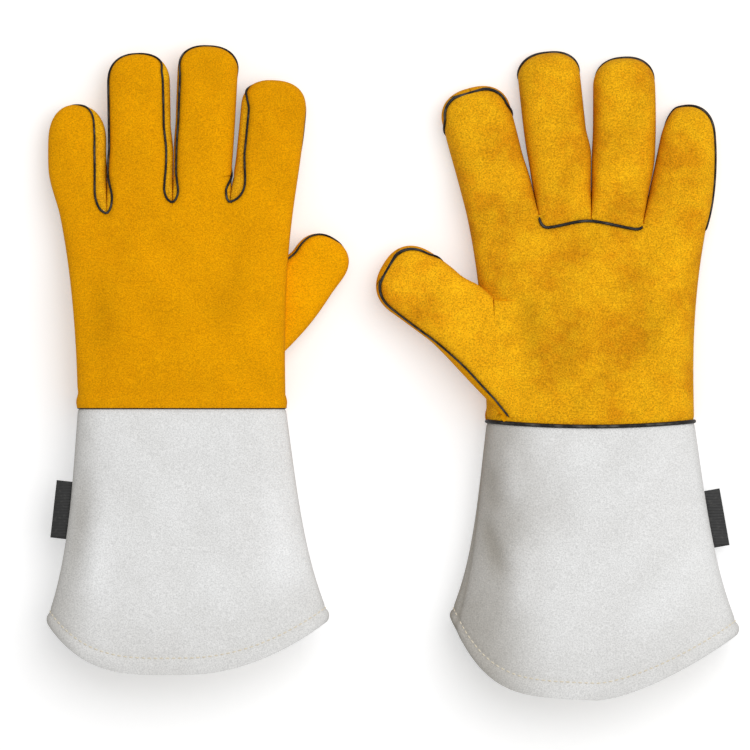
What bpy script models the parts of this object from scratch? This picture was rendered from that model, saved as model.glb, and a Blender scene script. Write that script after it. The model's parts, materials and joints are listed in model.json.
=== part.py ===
"""A pair of leather welding gauntlets lying side by side, the first back up and the second palm up.

Each glove is sewn from panels of split leather over a cotton lining: a hand with a back panel and a
palm panel, four finger stalls and a thumb with a back and a front each, and a flared cuff of two
panels. Black welts are sewn into the seams. The stalls fold at the knuckles, the thumb at its base
and the hand at the wrist seam, so each of these hangs on an empty on its fold line. The folds lie on
the upper side, because a glove that lies on the floor bends up off it.

Lengths are in metres and angles in degrees. +Z is up and the fingers point along +Y. The origin is
on the floor, under the middle of the pair.
"""

import math
from dataclasses import dataclass
from functools import partial

import bmesh
import bpy
import numpy as np
from mathutils import Matrix, Vector

MM = 0.001

# Sheet goods and what is sewn into the seams
LEATHER = 1.4 * MM
LINING = 1.2 * MM
LINING_GAP = 0.8 * MM
SEAM_GAP = 0.3 * MM
FOLD_GAP = 0.6 * MM
WELT_RADIUS = 0.9 * MM
WELT_PROUD = 0.45 * MM

# The seam runs round every limb. The back rises above it and the palm side hangs below it.
FINGER_BACK_RISE = 9 * MM
FINGER_FRONT_DEPTH = 17 * MM
KNUCKLE_BACK_RISE = 10.5 * MM
KNUCKLE_PALM_DEPTH = 20.5 * MM
HAND_BACK_RISE = 12 * MM
HAND_PALM_DEPTH = 30 * MM
WRIST_BACK_RISE = 16 * MM
WRIST_PALM_DEPTH = 28 * MM
HEM_BACK_RISE = 22 * MM
HEM_PALM_DEPTH = 32 * MM
THUMB_BACK_RISE = 8.5 * MM
THUMB_FRONT_DEPTH = 14.5 * MM

# How far the leather is pressed flat where it lies on the floor
REST_FLAT = 3 * MM

# Hand
PALM_LENGTH = 111 * MM
WRIST_WIDTH = 115 * MM
KNUCKLE_SHIFT = -2.5 * MM
KNUCKLE_TILT = 4.8
STALL_GAP = 1.3 * MM

# How far the thumb's base lies inside the edge of the hand. Its fold lies on that edge.
THUMB_INSET = 5.5 * MM

# Cuff: the part of its flare that comes as a late flick, and the turned hem that the lining stops at
CUFF_FLICK = 9.5 * MM
HEM_TURN = 8 * MM

# Woven tab, folded double and sewn into the little finger's side of the cuff
TAB_LENGTH = 32 * MM
TAB_WIDTH = 8 * MM
TAB_THICKNESS = 1.0 * MM
TAB_GAP = 0.6 * MM

# Squareness of the sections: 2 is an ellipse, and higher numbers are boxier
STALL_SQUARE = 2.7
HAND_SQUARE = 3.2
KNUCKLE_SQUARE = 4.5
CUFF_SQUARE = 2.5
TIP_SQUARE = 2.4

# Number of sections and of faces round them
STALL_ROWS = 4
TIP_STEPS = (0.4, 0.68, 0.88, 1.0)
HAND_ROWS = 5
CUFF_ROWS = 5
STALL_FACES = 6
PANEL_FACES = 12


@dataclass
class Digit:
    """A stall: its width where it leaves the hand, its width and length, where it points and its tip.

    Its width changes from the base's to its own over the taper, a share of its length.
    """

    name: str
    base: float
    width: float
    length: float
    lean: float
    bow: float
    tip: float
    taper: float = 0.45


@dataclass
class Glove:
    """One glove: how it lies, its digits from left to right, its thumb and its cuff.

    partings are the leans of the lines between the fingers. thumb_rise is how far the middle of the
    thumb's base lies above the wrist seam, and thumb_lift how far the thumb is off the floor.
    """

    name: str
    wrist: tuple
    back_up: bool
    thumb_right: bool
    fingers: list
    partings: tuple
    thumb: Digit
    thumb_rise: float
    thumb_lift: tuple
    cuff_length: float
    hem_width: float
    hem_shift: float
    hem_tilt: float
    hem_drop: float
    hem_round: tuple
    tab_from_wrist: float


BACK_UP_GLOVE = Glove(
    name="glove1",
    wrist=(-113.2 * MM, 3.8 * MM),
    back_up=True,
    thumb_right=True,
    fingers=[
        Digit("little", base=26 * MM, width=33 * MM, length=61 * MM, lean=-1.4, bow=-2.6 * MM, tip=20 * MM),
        Digit("ring", base=36.5 * MM, width=35 * MM, length=87 * MM, lean=-0.9, bow=0.3 * MM, tip=17 * MM),
        Digit("middle", base=32 * MM, width=33.5 * MM, length=88.5 * MM, lean=2.6, bow=0, tip=14 * MM),
        Digit("index", base=36 * MM, width=36 * MM, length=67 * MM, lean=6.2, bow=0.6 * MM, tip=16 * MM),
    ],
    partings=(-0.4, 0.7, 4.4),
    thumb=Digit(
        "thumb", base=50 * MM, width=31.5 * MM, length=53 * MM, lean=39, bow=1 * MM, tip=16 * MM, taper=0.65
    ),
    thumb_rise=49 * MM,
    thumb_lift=(3.7 * MM, 1.5 * MM),
    cuff_length=119 * MM,
    hem_width=159 * MM,
    hem_shift=3.5 * MM,
    hem_tilt=0.8,
    hem_drop=28.2 * MM,
    hem_round=(3.8, 2.0),
    tab_from_wrist=40.5 * MM,
)

PALM_UP_GLOVE = Glove(
    name="glove2",
    wrist=(113.2 * MM, -3.8 * MM),
    back_up=False,
    thumb_right=False,
    fingers=[
        Digit("index", base=40.5 * MM, width=39 * MM, length=72 * MM, lean=-14.6, bow=0, tip=17 * MM),
        Digit("middle", base=29 * MM, width=34.5 * MM, length=92.5 * MM, lean=-6.2, bow=0, tip=14 * MM),
        Digit("ring", base=28.5 * MM, width=35.5 * MM, length=91.5 * MM, lean=1.8, bow=2.7 * MM, tip=16 * MM),
        Digit("little", base=35.5 * MM, width=35 * MM, length=67 * MM, lean=2.8, bow=4.4 * MM, tip=16 * MM),
    ],
    partings=(-11.3, 0.9, 12.0),
    thumb=Digit(
        "thumb", base=64 * MM, width=38 * MM, length=76.5 * MM, lean=-53.5, bow=0, tip=17.5 * MM, taper=0.6
    ),
    thumb_rise=41.5 * MM,
    thumb_lift=(17.7 * MM, 7.2 * MM),
    cuff_length=114 * MM,
    hem_width=163 * MM,
    hem_shift=2.2 * MM,
    hem_tilt=-2.7,
    hem_drop=39.8 * MM,
    hem_round=(4.5, 1.45),
    tab_from_wrist=37 * MM,
)


@dataclass
class Rows:
    """Sections along a limb, one entry each: its middle, the way to its right, and its four reaches."""

    centre: np.ndarray
    way: np.ndarray
    right: np.ndarray
    left: np.ndarray
    up: np.ndarray
    down: np.ndarray
    square: np.ndarray
    seam: np.ndarray


def mix(a, b, share):
    return a + (b - a) * share


def smooth(x):
    """Eases from 0 to 1 while x goes from 0 to 1."""
    x = np.clip(x, 0, 1)
    return x * x * (3 - 2 * x)


def heading(lean):
    """Unit vector on the floor that leans this many degrees from +Y towards +X."""
    return np.array([math.sin(math.radians(lean)), math.cos(math.radians(lean))])


def right_of(direction):
    return np.array([direction[1], -direction[0]])


def cross(a, b):
    return a[..., 0] * b[..., 1] - a[..., 1] * b[..., 0]


def reach_to_line(centre, way, point, direction):
    """Distance from each centre, along its way, to the line through point in that direction."""
    return cross(point - centre, direction) / cross(way, direction)


def swap(glove, rise, depth):
    """The reach above the seam and the reach below it, as the glove lies."""
    return (rise, depth) if glove.back_up else (depth, rise)


# Sections


def knuckle_way(glove):
    """Direction of the knuckle line from left to right. It falls towards the little finger."""
    tilt = KNUCKLE_TILT if glove.thumb_right else -KNUCKLE_TILT
    return right_of(heading(-tilt))


def knuckle_width(glove):
    return sum(finger.base for finger in glove.fingers)


def knuckle_middle(glove):
    return np.array(glove.wrist) + np.array([KNUCKLE_SHIFT, PALM_LENGTH])


def crotches(glove):
    """Points on the knuckle line between the finger bases, with the hand's two edges as the ends."""
    ends = np.cumsum([0] + [finger.base for finger in glove.fingers]) - knuckle_width(glove) / 2
    return knuckle_middle(glove) + ends[:, None] * knuckle_way(glove)


def stall_rows(digit, base_middle, base_way, sizes, inset, start, least, limits):
    """Sections of a stall from its base to its tip, drawn in by inset, the last at least of full size.

    The middle follows a quadratic curve from the base to the tip that bulges by the bow. sizes gives
    the rise and the depth at the base and along the stall, and its lift off the floor at the base and
    at the tip. limits are lines that the left and the right side stay behind.
    """
    tip_at = 1 - digit.tip / digit.length
    steps = np.array(TIP_STEPS) * (1 - least**TIP_SQUARE) ** (1 / TIP_SQUARE)
    run = np.linspace(start / digit.length, tip_at, STALL_ROWS)
    t = np.concatenate([run, mix(tip_at, 1 - inset / digit.length, steps)])
    closing = np.concatenate([np.ones(STALL_ROWS), (1 - steps**TIP_SQUARE) ** (1 / TIP_SQUARE)])

    end = base_middle + digit.length * heading(digit.lean)
    control = (base_middle + end) / 2 + 2 * digit.bow * right_of(heading(digit.lean))
    bend = t[:, None]
    centre = (1 - bend) ** 2 * base_middle + 2 * bend * (1 - bend) * control + bend**2 * end
    along = mix(control - base_middle, end - control, bend)
    across = np.stack([along[:, 1], -along[:, 0]], axis=1)
    across /= np.linalg.norm(across, axis=1, keepdims=True)
    way = mix(base_way, across, smooth(t / 0.8)[:, None])
    way /= np.linalg.norm(way, axis=1, keepdims=True)

    (up_base, down_base), (up_stall, down_stall), (lift_base, lift_tip) = sizes
    up = mix(up_base, up_stall, smooth(t / 0.5))
    down = mix(down_base, down_stall, smooth(t / 0.5))
    half = mix(digit.base, digit.width, smooth(t / digit.taper)) / 2
    left, right = half.copy(), half.copy()
    if limits[0] is not None:
        left = np.minimum(half, reach_to_line(centre, -way, *limits[0]) - STALL_GAP / 2)
    if limits[1] is not None:
        right = np.minimum(half, reach_to_line(centre, way, *limits[1]) - STALL_GAP / 2)
    return Rows(
        centre=centre,
        way=way,
        right=(right - inset) * closing,
        left=(left - inset) * closing,
        up=(up - inset) * closing,
        down=(down - inset) * closing,
        square=mix(KNUCKLE_SQUARE, STALL_SQUARE, smooth(t / 0.35)),
        seam=down - REST_FLAT + mix(lift_base, lift_tip, smooth(t)),
    )


def finger_rows(glove, number, inset, start, least=0):
    """Sections of one finger. Its sides keep clear of the lines that part it from its neighbours."""
    digit = glove.fingers[number]
    points = crotches(glove)
    middle = (points[number] + points[number + 1]) / 2
    lines = list(zip(points[1:-1], map(heading, glove.partings)))
    limits = [None, *lines, None][number : number + 2]
    sizes = (
        swap(glove, KNUCKLE_BACK_RISE, KNUCKLE_PALM_DEPTH),
        swap(glove, FINGER_BACK_RISE, FINGER_FRONT_DEPTH),
        (0, 0),
    )
    return stall_rows(digit, middle, knuckle_way(glove), sizes, inset, start, least, limits)


def thumb_base(glove):
    """Middle of the thumb's base, and the way out of the hand there."""
    out = np.array([1.0, 0.0]) if glove.thumb_right else np.array([-1.0, 0.0])
    edge = hand_rows(glove, 0, np.array([glove.thumb_rise / PALM_LENGTH]))
    half = edge.right[0] if glove.thumb_right else edge.left[0]
    return edge.centre[0] + (half - THUMB_INSET) * out, out


def thumb_rows(glove, inset, start, least=0):
    """Sections of the thumb, whose base lies along the side of the hand."""
    middle, out = thumb_base(glove)
    sizes = (
        swap(glove, THUMB_BACK_RISE, THUMB_FRONT_DEPTH),
        swap(glove, THUMB_BACK_RISE, THUMB_FRONT_DEPTH),
        glove.thumb_lift,
    )
    return stall_rows(glove.thumb, middle, right_of(out), sizes, inset, start, least, (None, None))


def hand_rows(glove, inset, share):
    """Sections of the hand at these shares of the way from the wrist seam to the knuckle line."""
    low, high = smooth(share / 0.5), smooth((share - 0.5) / 0.5)
    rise = mix(mix(WRIST_BACK_RISE, HAND_BACK_RISE, low), KNUCKLE_BACK_RISE, high)
    depth = mix(mix(WRIST_PALM_DEPTH, HAND_PALM_DEPTH, low), KNUCKLE_PALM_DEPTH, high)
    up, down = swap(glove, rise, depth)
    half = mix(WRIST_WIDTH, knuckle_width(glove), share**2.5) / 2 - inset
    way = mix(np.array([1.0, 0.0]), knuckle_way(glove), smooth(share)[:, None])
    return Rows(
        centre=mix(np.array(glove.wrist), knuckle_middle(glove), share[:, None]),
        way=way / np.linalg.norm(way, axis=1, keepdims=True),
        right=half,
        left=half,
        up=up - inset,
        down=down - inset,
        square=mix(HAND_SQUARE, KNUCKLE_SQUARE, high),
        seam=down - REST_FLAT,
    )


def cuff_rows(glove, inset, share):
    """Sections of the cuff at these shares of the way from the hem's corners up to the wrist seam."""
    out = 1 - share
    up, down = swap(
        glove,
        mix(WRIST_BACK_RISE, HEM_BACK_RISE, out),
        mix(WRIST_PALM_DEPTH, HEM_PALM_DEPTH, out),
    )
    flare = (glove.hem_width - WRIST_WIDTH) / 2 - CUFF_FLICK
    half = WRIST_WIDTH / 2 + flare * out + CUFF_FLICK * out**4 - inset
    hem = np.array(glove.wrist) + np.array([glove.hem_shift, -glove.cuff_length])
    way = mix(np.array([1.0, 0.0]), right_of(heading(-glove.hem_tilt)), out[:, None])
    return Rows(
        centre=mix(np.array(glove.wrist), hem, out[:, None]),
        way=way / np.linalg.norm(way, axis=1, keepdims=True),
        right=half,
        left=half,
        up=up - inset,
        down=down - inset,
        square=np.full(len(share), CUFF_SQUARE),
        seam=down - REST_FLAT,
    )


def outline(rows, angles):
    """Reach to the right and height above the seam of each section at its angles."""
    c, s = np.cos(angles), np.sin(angles)
    power = 2 / rows.square[:, None]
    side = np.where(c > 0, rows.right[:, None], rows.left[:, None]) * np.sign(c) * np.abs(c) ** power
    height = np.where(s > 0, rows.up[:, None], rows.down[:, None]) * np.sign(s) * np.abs(s) ** power
    return side, height


def loft(rows, angles, floor):
    """Points of each section at its angles: 0 is its right seam, 90 degrees its top, 180 its left seam."""
    side, height = outline(rows, angles)
    flat = rows.centre[:, None, :] + side[:, :, None] * rows.way[:, None, :]
    z = np.maximum(rows.seam[:, None] + height, floor)
    return np.concatenate([flat, z[:, :, None]], axis=2), side


def even_angles(rows, start, stop, faces):
    """Angles from start to stop that share out each section's length and its turning evenly."""
    fine = mix(start[:, None], stop[:, None], np.linspace(0, 1, 97))
    side, height = outline(rows, fine)
    across, rise = np.diff(side, axis=1), np.diff(height, axis=1)
    length = np.hypot(across, rise) + 1e-12
    turning = np.abs(np.diff(np.unwrap(np.arctan2(rise, across), axis=1), axis=1)) + 1e-12
    turning = np.pad(turning, ((0, 0), (0, 1)), mode="edge")
    share = length / length.sum(axis=1, keepdims=True) + turning / turning.sum(axis=1, keepdims=True)
    run = np.pad(np.cumsum(share, axis=1), ((0, 0), (1, 0)))
    even = np.linspace(0, 1, faces + 1)
    return np.array([np.interp(even * r[-1], r, f) for r, f in zip(run, fine)])


def round_angles(rows, faces):
    """Angles all round the sections, with as many faces above the seam as below it."""
    none, half = np.zeros(len(rows.seam)), np.full(len(rows.seam), math.pi)
    above = even_angles(rows, none, half, faces)
    below = even_angles(rows, half, 2 * half, faces)
    return np.concatenate([above[:, :-1], below[:, :-1]], axis=1)


def half_angles(rows, above, faces, right_edge, left_edge):
    """Angles of one side of the seam, that stop this far above or below it at the two edges."""
    reach = rows.up if above else rows.down
    stops = []
    for edge in (right_edge, left_edge):
        share = np.minimum(edge / np.maximum(reach, edge), 1)
        stops.append(np.arcsin(share ** (rows.square / 2)))
    if above:
        return even_angles(rows, stops[0], math.pi - stops[1], faces)
    return even_angles(rows, math.pi + stops[1], 2 * math.pi - stops[0], faces)


def drop_hem(glove, rows, share, points, side):
    """Draws the cuff's lower sections down in their middle, so that the hem is a curve."""
    across = side / rows.right[:, None]
    power = np.where(across < 0, *glove.hem_round)
    sag = glove.hem_drop * (1 - np.minimum(np.abs(across), 1) ** power)
    points[:, :, 1] -= (1 - share)[:, None] * sag
    return points


# Objects


def clear_scene():
    for obj in list(bpy.data.objects):
        bpy.data.objects.remove(obj)


def collection(name):
    made = bpy.data.collections.new(name)
    bpy.context.scene.collection.children.link(made)
    return made


def linear(channel):
    return channel / 12.92 if channel <= 0.04045 else ((channel + 0.055) / 1.055) ** 2.4


def material(name, colour, roughness):
    made = bpy.data.materials.new(name)
    made.use_nodes = True
    shader = made.node_tree.nodes["Principled BSDF"]
    shades = [linear(int(colour[i : i + 2], 16) / 255) for i in (1, 3, 5)]
    shader.inputs["Base Color"].default_value = (*shades, 1)
    shader.inputs["Roughness"].default_value = roughness
    shader.inputs["Metallic"].default_value = 0
    return made


def empty(name, place, parent, group):
    """An empty on a fold line. What folds there is parented to it."""
    made = bpy.data.objects.new(name, None)
    made.empty_display_size = 10 * MM
    group.objects.link(made)
    made["pivot"] = place
    if parent is not None:
        made.parent = parent
        place = np.array(place) - np.array(parent["pivot"])
    made.location = place
    return made


def hang(obj, pivot, finish, group):
    """Gives an object its material and hangs it on its empty, with its origin there."""
    obj.data.transform(Matrix.Translation(-Vector(pivot["pivot"])))
    obj.parent = pivot
    obj.data.materials.append(finish)
    group.objects.link(obj)
    return obj


def grid_faces(shape, verts, looped, flip):
    """Fills a grid of vertices with faces. looped joins its last column to its first."""
    columns = len(verts[0])
    for near, far in zip(verts, verts[1:]):
        for j in range(columns if looped else columns - 1):
            k = (j + 1) % columns
            corners = (near[j], far[j], far[k], near[k])
            shape.faces.new(reversed(corners) if flip else corners)


def shell(name, outer, inner, looped):
    """A smooth wall between two grids of points, closed along its open edges.

    A stall's last row lies in one point, where its tip closes.
    """
    shape = bmesh.new()
    skins = [[[shape.verts.new(p) for p in row] for row in grid] for grid in (outer, inner)]
    for skin, flip in zip(skins, (False, True)):
        grid_faces(shape, skin, looped, flip)
    out, back = skins
    grid_faces(shape, [back[0], out[0]], looped, False)
    if np.ptp(outer[-1], axis=0).max() > 1e-6:
        grid_faces(shape, [out[-1], back[-1]], looped, False)
    if not looped:
        for column, flip in ((0, False), (-1, True)):
            edges = [[row[column] for row in skin] for skin in skins]
            grid_faces(shape, edges, False, flip)
    bmesh.ops.remove_doubles(shape, verts=shape.verts, dist=1e-6)
    mesh = bpy.data.meshes.new(name)
    shape.to_mesh(mesh)
    shape.free()
    mesh.shade_smooth()
    mesh.set_sharp_from_angle(angle=math.radians(50))
    return bpy.data.objects.new(name, mesh)


def welt(name, points, ring=False):
    """A round welt along these points."""
    line = bpy.data.curves.new(name, "CURVE")
    line.dimensions = "3D"
    line.bevel_depth = WELT_RADIUS
    line.bevel_resolution = 1
    line.use_fill_caps = True
    spline = line.splines.new("POLY")
    spline.points.add(len(points) - 1)
    spline.points.foreach_set("co", np.column_stack([points, np.ones(len(points))]).ravel())
    spline.use_cyclic_u = ring
    spline.use_smooth = True
    return bpy.data.objects.new(name, line)


def cut(obj, cutter):
    hole = obj.modifiers.new("hole", "BOOLEAN")
    hole.operation = "DIFFERENCE"
    hole.object = cutter
    return obj


# Parts of a glove


class Maker:
    """Builds one glove into the parts collection."""

    def __init__(self, glove, parts, cutters, finishes, root):
        self.glove = glove
        self.parts = parts
        self.cutters = cutters
        self.finishes = finishes
        wrist_x, wrist_y = glove.wrist
        self.cuff = empty(f"{glove.name}_cuff_pivot", (wrist_x, wrist_y, 0), root, parts)
        wrist_z = self.top(hand_rows(glove, 0, np.array([0.0])))
        self.hand = empty(f"{glove.name}_wrist_fold", (wrist_x, wrist_y, wrist_z), self.cuff, parts)

    def top(self, rows):
        """Height of the first section's top."""
        return float(rows.seam[0] + rows.up[0])

    def add(self, name, obj, pivot, finish):
        obj.name = f"{self.glove.name}_{name}"
        return hang(obj, pivot, self.finishes[finish], self.parts)

    def panel(self, name, pivot, finish, points_at):
        """A leather panel. points_at gives its points when its sections are drawn in by so much."""
        wall = shell(name, points_at(0), points_at(LEATHER), looped=False)
        return self.add(name, wall, pivot, finish)

    def lining(self, name, pivot, points_at):
        """A lining, all round, just inside the leather."""
        inset = LEATHER + LINING_GAP
        wall = shell(name, points_at(inset), points_at(inset + LINING), looped=True)
        return self.add(name, wall, pivot, "lining")

    def stall(self, name, pivot, rows_at, front_start):
        """A finger or thumb: its back, its front, the welt between them and its lining."""
        edge = WELT_RADIUS + SEAM_GAP
        back_above = self.glove.back_up
        for side, above, start in (
            ("back", back_above, FOLD_GAP / 2),
            ("front", not back_above, front_start),
        ):

            def panel_at(inset, above=above, start=start):
                rows = rows_at(inset, start)
                reach = (rows.up if above else rows.down)[STALL_ROWS - 1]
                rows = rows_at(inset, start, edge / reach)
                return loft(rows, half_angles(rows, above, STALL_FACES, edge, edge), inset)[0]

            self.panel(f"{name}_{side}", pivot, "gold_leather", panel_at)

        rows = rows_at(WELT_RADIUS - WELT_PROUD, FOLD_GAP)
        rim = np.stack([rows.right, -rows.left])[:, :, None] * rows.way + rows.centre
        seam = np.concatenate([rim, np.broadcast_to(rows.seam[:, None], rim.shape[:2] + (1,))], axis=2)
        path = np.concatenate([seam[0], seam[1][-2::-1]])
        self.add(f"{name}_welt", welt(name, path), pivot, "welt")

        def lining_at(inset):
            rows = rows_at(inset, FOLD_GAP)
            return loft(rows, round_angles(rows, STALL_FACES), inset)[0]

        self.lining(f"{name}_lining", pivot, lining_at)

    def fingers(self):
        """The four stalls. The two middle fronts are set in above a welt across the palm."""
        glove = self.glove
        points = crotches(glove)
        for number, finger in enumerate(glove.fingers):
            knuckle_z = self.top(finger_rows(glove, number, 0, 0))
            middle = (points[number] + points[number + 1]) / 2
            pivot = empty(f"{glove.name}_{finger.name}_fold", (*middle, knuckle_z), self.hand, self.parts)
            set_in = finger.name in ("middle", "ring")
            rows_at = partial(finger_rows, glove, number)
            front_start = WELT_RADIUS + SEAM_GAP if set_in else FOLD_GAP - WELT_RADIUS - SEAM_GAP
            self.stall(finger.name, pivot, rows_at, front_start)

    def thumb(self):
        """The thumb, at the side of the palm, which folds at the edge of the hand."""
        glove = self.glove
        middle, out = thumb_base(glove)
        edge_z = self.top(thumb_rows(glove, 0, 0))
        pivot = empty(
            f"{glove.name}_thumb_fold", (*(middle + THUMB_INSET * out), edge_z), self.hand, self.parts
        )
        self.stall("thumb", pivot, partial(thumb_rows, glove), FOLD_GAP / 2)

    def thumb_hole(self, name, depth):
        """A cutter for the thumb, this deep into the hand from the thumb's base.

        Its sides also keep straight out from the base, so that the leaning thumb can swing in the hole.
        """
        glove = self.glove
        middle, out = thumb_base(glove)
        hole = thumb_rows(glove, -WELT_RADIUS - SEAM_GAP, 0)
        rings = loft(hole, round_angles(hole, PANEL_FACES), -1)[0][: STALL_ROWS - 1]
        base = rings[0, :, 1]
        low, high = np.minimum(rings[:, :, 1], base), np.maximum(rings[:, :, 1], base)
        rings[:, :, 1] = np.where(base < middle[1], low, high)
        rings = [rings[0] - depth * np.array([*out, 0]), *rings]
        shape = bmesh.new()
        grid_faces(shape, [[shape.verts.new(p) for p in ring] for ring in rings], True, False)
        bmesh.ops.holes_fill(shape, edges=shape.edges)
        bmesh.ops.recalc_face_normals(shape, faces=shape.faces)
        mesh = bpy.data.meshes.new(f"{glove.name}_{name}")
        shape.to_mesh(mesh)
        shape.free()
        cutter = bpy.data.objects.new(mesh.name, mesh)
        cutter.hide_render = True
        cutter.display_type = "WIRE"
        cutter.parent = self.hand
        cutter.data.transform(Matrix.Translation(-Vector(self.hand["pivot"])))
        self.cutters.objects.link(cutter)
        return cutter

    def hand_shell(self):
        """The back and the palm of the hand, their lining, and the welts at the wrist, side and knuckles."""
        glove = self.glove
        edge = WELT_RADIUS + SEAM_GAP
        near = FOLD_GAP / 2
        edges = (near, edge) if glove.thumb_right else (edge, near)
        start = edge / PALM_LENGTH
        for name, above, stop in (
            ("back_panel", glove.back_up, FOLD_GAP / 2),
            ("palm_panel", not glove.back_up, edge),
        ):

            def panel_at(inset, above=above, stop=stop):
                rows = hand_rows(glove, inset, np.linspace(start, 1 - stop / PALM_LENGTH, HAND_ROWS))
                return loft(rows, half_angles(rows, above, PANEL_FACES, *edges), inset)[0]

            made = self.panel(name, self.hand, "gold_leather", panel_at)
            if name == "palm_panel":
                cut(made, self.thumb_hole("palm_thumb_hole", LEATHER))

        def lining_at(inset):
            stop = 1 - (edge + FOLD_GAP) / PALM_LENGTH
            rows = hand_rows(glove, inset, np.linspace(start, stop, HAND_ROWS))
            return loft(rows, round_angles(rows, PANEL_FACES), inset)[0]

        depth = THUMB_INSET + LEATHER + LINING_GAP + LINING
        made = self.lining("hand_lining", self.hand, lining_at)
        cut(made, self.thumb_hole("lining_thumb_hole", depth))

        rows = hand_rows(glove, WELT_RADIUS, np.array([0.0]))
        ring, _ = loft(rows, round_angles(rows, PANEL_FACES), WELT_RADIUS)
        self.add("wrist_welt", welt("wrist_welt", ring[0], ring=True), self.hand, "welt")

        rows = hand_rows(glove, WELT_RADIUS - WELT_PROUD, np.linspace(2 * start, 1 - start, HAND_ROWS))
        reach = -rows.left if glove.thumb_right else rows.right
        side = np.column_stack([rows.centre + reach[:, None] * rows.way, rows.seam])
        self.add("side_welt", welt("side_welt", side), self.hand, "welt")
        self.finger_base_welt()

    def finger_base_welt(self):
        """The welt across the palm at the foot of the two middle fingers."""
        glove = self.glove
        rows = hand_rows(glove, WELT_RADIUS, np.array([1.0]))
        half = knuckle_width(glove) / 2
        first = -half + glove.fingers[0].base
        last = half - glove.fingers[-1].base
        share = np.linspace(first, last, PANEL_FACES // 2 + 1) / rows.right[0]
        turn = np.arccos(np.sign(share) * np.abs(share) ** (rows.square[0] / 2))
        points, _ = loft(rows, (-turn if glove.back_up else turn)[None, :], WELT_RADIUS)
        self.add("finger_base_welt", welt("finger_base_welt", points[0]), self.hand, "welt")

    def cuff_shell(self):
        """The two cuff panels and the cuff's lining, which stops at the turned hem."""
        glove = self.glove
        near = FOLD_GAP / 2
        stop = 1 - (WELT_RADIUS + SEAM_GAP) / glove.cuff_length
        steps = np.linspace(0, 1, CUFF_ROWS)
        for name, above in (("cuff_back_panel", glove.back_up), ("cuff_palm_panel", not glove.back_up)):

            def panel_at(inset, above=above):
                share = steps**1.3 * stop
                rows = cuff_rows(glove, inset, share)
                points, side = loft(rows, half_angles(rows, above, PANEL_FACES, near, near), inset)
                return drop_hem(glove, rows, share, points, side)

            self.panel(name, self.cuff, "grey_leather", panel_at)

        def lining_at(inset):
            share = mix(HEM_TURN / glove.cuff_length, stop, steps**1.3)
            rows = cuff_rows(glove, inset, share)
            points, side = loft(rows, round_angles(rows, PANEL_FACES), inset)
            return drop_hem(glove, rows, share, points, side)

        self.lining("cuff_lining", self.cuff, lining_at)

    def tab(self):
        """The woven tab, folded over at its outer edge, that flaps at the cuff's side seam."""
        glove = self.glove
        ends = 1 - (glove.tab_from_wrist + np.array([0, TAB_LENGTH])) / glove.cuff_length
        rows = cuff_rows(glove, 0, ends)
        reach = -rows.left if glove.thumb_right else rows.right
        edge = rows.centre + reach[:, None] * rows.way
        along = (edge[1] - edge[0]) / np.linalg.norm(edge[1] - edge[0])
        out = -right_of(-along) if glove.thumb_right else right_of(-along)
        middle = edge.mean(axis=0) + TAB_GAP * out
        pivot = empty(f"{glove.name}_tab_fold", (*middle, float(rows.seam.mean())), self.cuff, self.parts)

        bpy.ops.mesh.primitive_cube_add(size=1)
        made = bpy.context.object
        made.users_collection[0].objects.unlink(made)
        frame = np.eye(4)
        frame[:2, 0] = TAB_WIDTH * out
        frame[:2, 1] = TAB_LENGTH * along
        frame[2, 2] = TAB_THICKNESS
        frame[:2, 3] = middle + TAB_WIDTH / 2 * out
        frame[2, 3] = pivot["pivot"][2]
        made.data.transform(Matrix(frame))
        if np.linalg.det(frame) < 0:
            made.data.flip_normals()
        fold = made.modifiers.new("fold", "BEVEL")
        fold.width = TAB_THICKNESS / 3
        fold.segments = 2
        self.add("tab", made, pivot, "tab")

    def build(self):
        self.fingers()
        self.thumb()
        self.hand_shell()
        self.cuff_shell()
        self.tab()


def centre_on_floor(parts, root):
    """Moves the pair so that the middle of its box, on the floor, is the origin."""
    bpy.context.view_layer.update()
    graph = bpy.context.evaluated_depsgraph_get()
    corners = []
    for obj in parts.objects:
        if obj.type == "EMPTY":
            continue
        shown = obj.evaluated_get(graph)
        mesh = shown.to_mesh()
        spots = np.empty(len(mesh.vertices) * 3, np.float32)
        mesh.vertices.foreach_get("co", spots)
        shown.to_mesh_clear()
        corners.append(spots.reshape(-1, 3) + np.array(obj.matrix_world.translation))
    spots = np.concatenate(corners)
    low, high = spots.min(axis=0), spots.max(axis=0)
    root.location = (-(low[0] + high[0]) / 2, -(low[1] + high[1]) / 2, -low[2])
    bpy.context.view_layer.update()


def main():
    clear_scene()
    parts = collection("welding_gloves")
    cutters = collection("cutters")
    finishes = {
        "gold_leather": material("gold_leather", "#E0A21B", 0.95),
        "grey_leather": material("grey_leather", "#D6D5D3", 0.95),
        "welt": material("welt", "#2B2A29", 0.6),
        "lining": material("lining", "#E6DFCF", 1.0),
        "tab": material("tab", "#232323", 0.8),
    }
    root = empty("welding_gloves_origin", (0, 0, 0), None, parts)
    for glove in (BACK_UP_GLOVE, PALM_UP_GLOVE):
        Maker(glove, parts, cutters, finishes, root).build()
    centre_on_floor(parts, root)


main()
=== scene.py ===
"""Leather, welts, linings and stitches of a pair of welding gauntlets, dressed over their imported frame.

Each limb of a glove is a surface of two parameters: how far along it a point lies, and how far it turns
round the limb's section. A section is a superellipse, flat where it lies on the floor. A panel is a
stretch of such a surface between two seams, given the leather's thickness. A welt is a round profile
carried along a seam. Lengths are in metres unless a name ends in _mm. A value that ends in _SHARE or _AT
is a share of the limb's length, and one in _TURN is in radians.
"""

import json
import math
from dataclasses import dataclass

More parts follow.
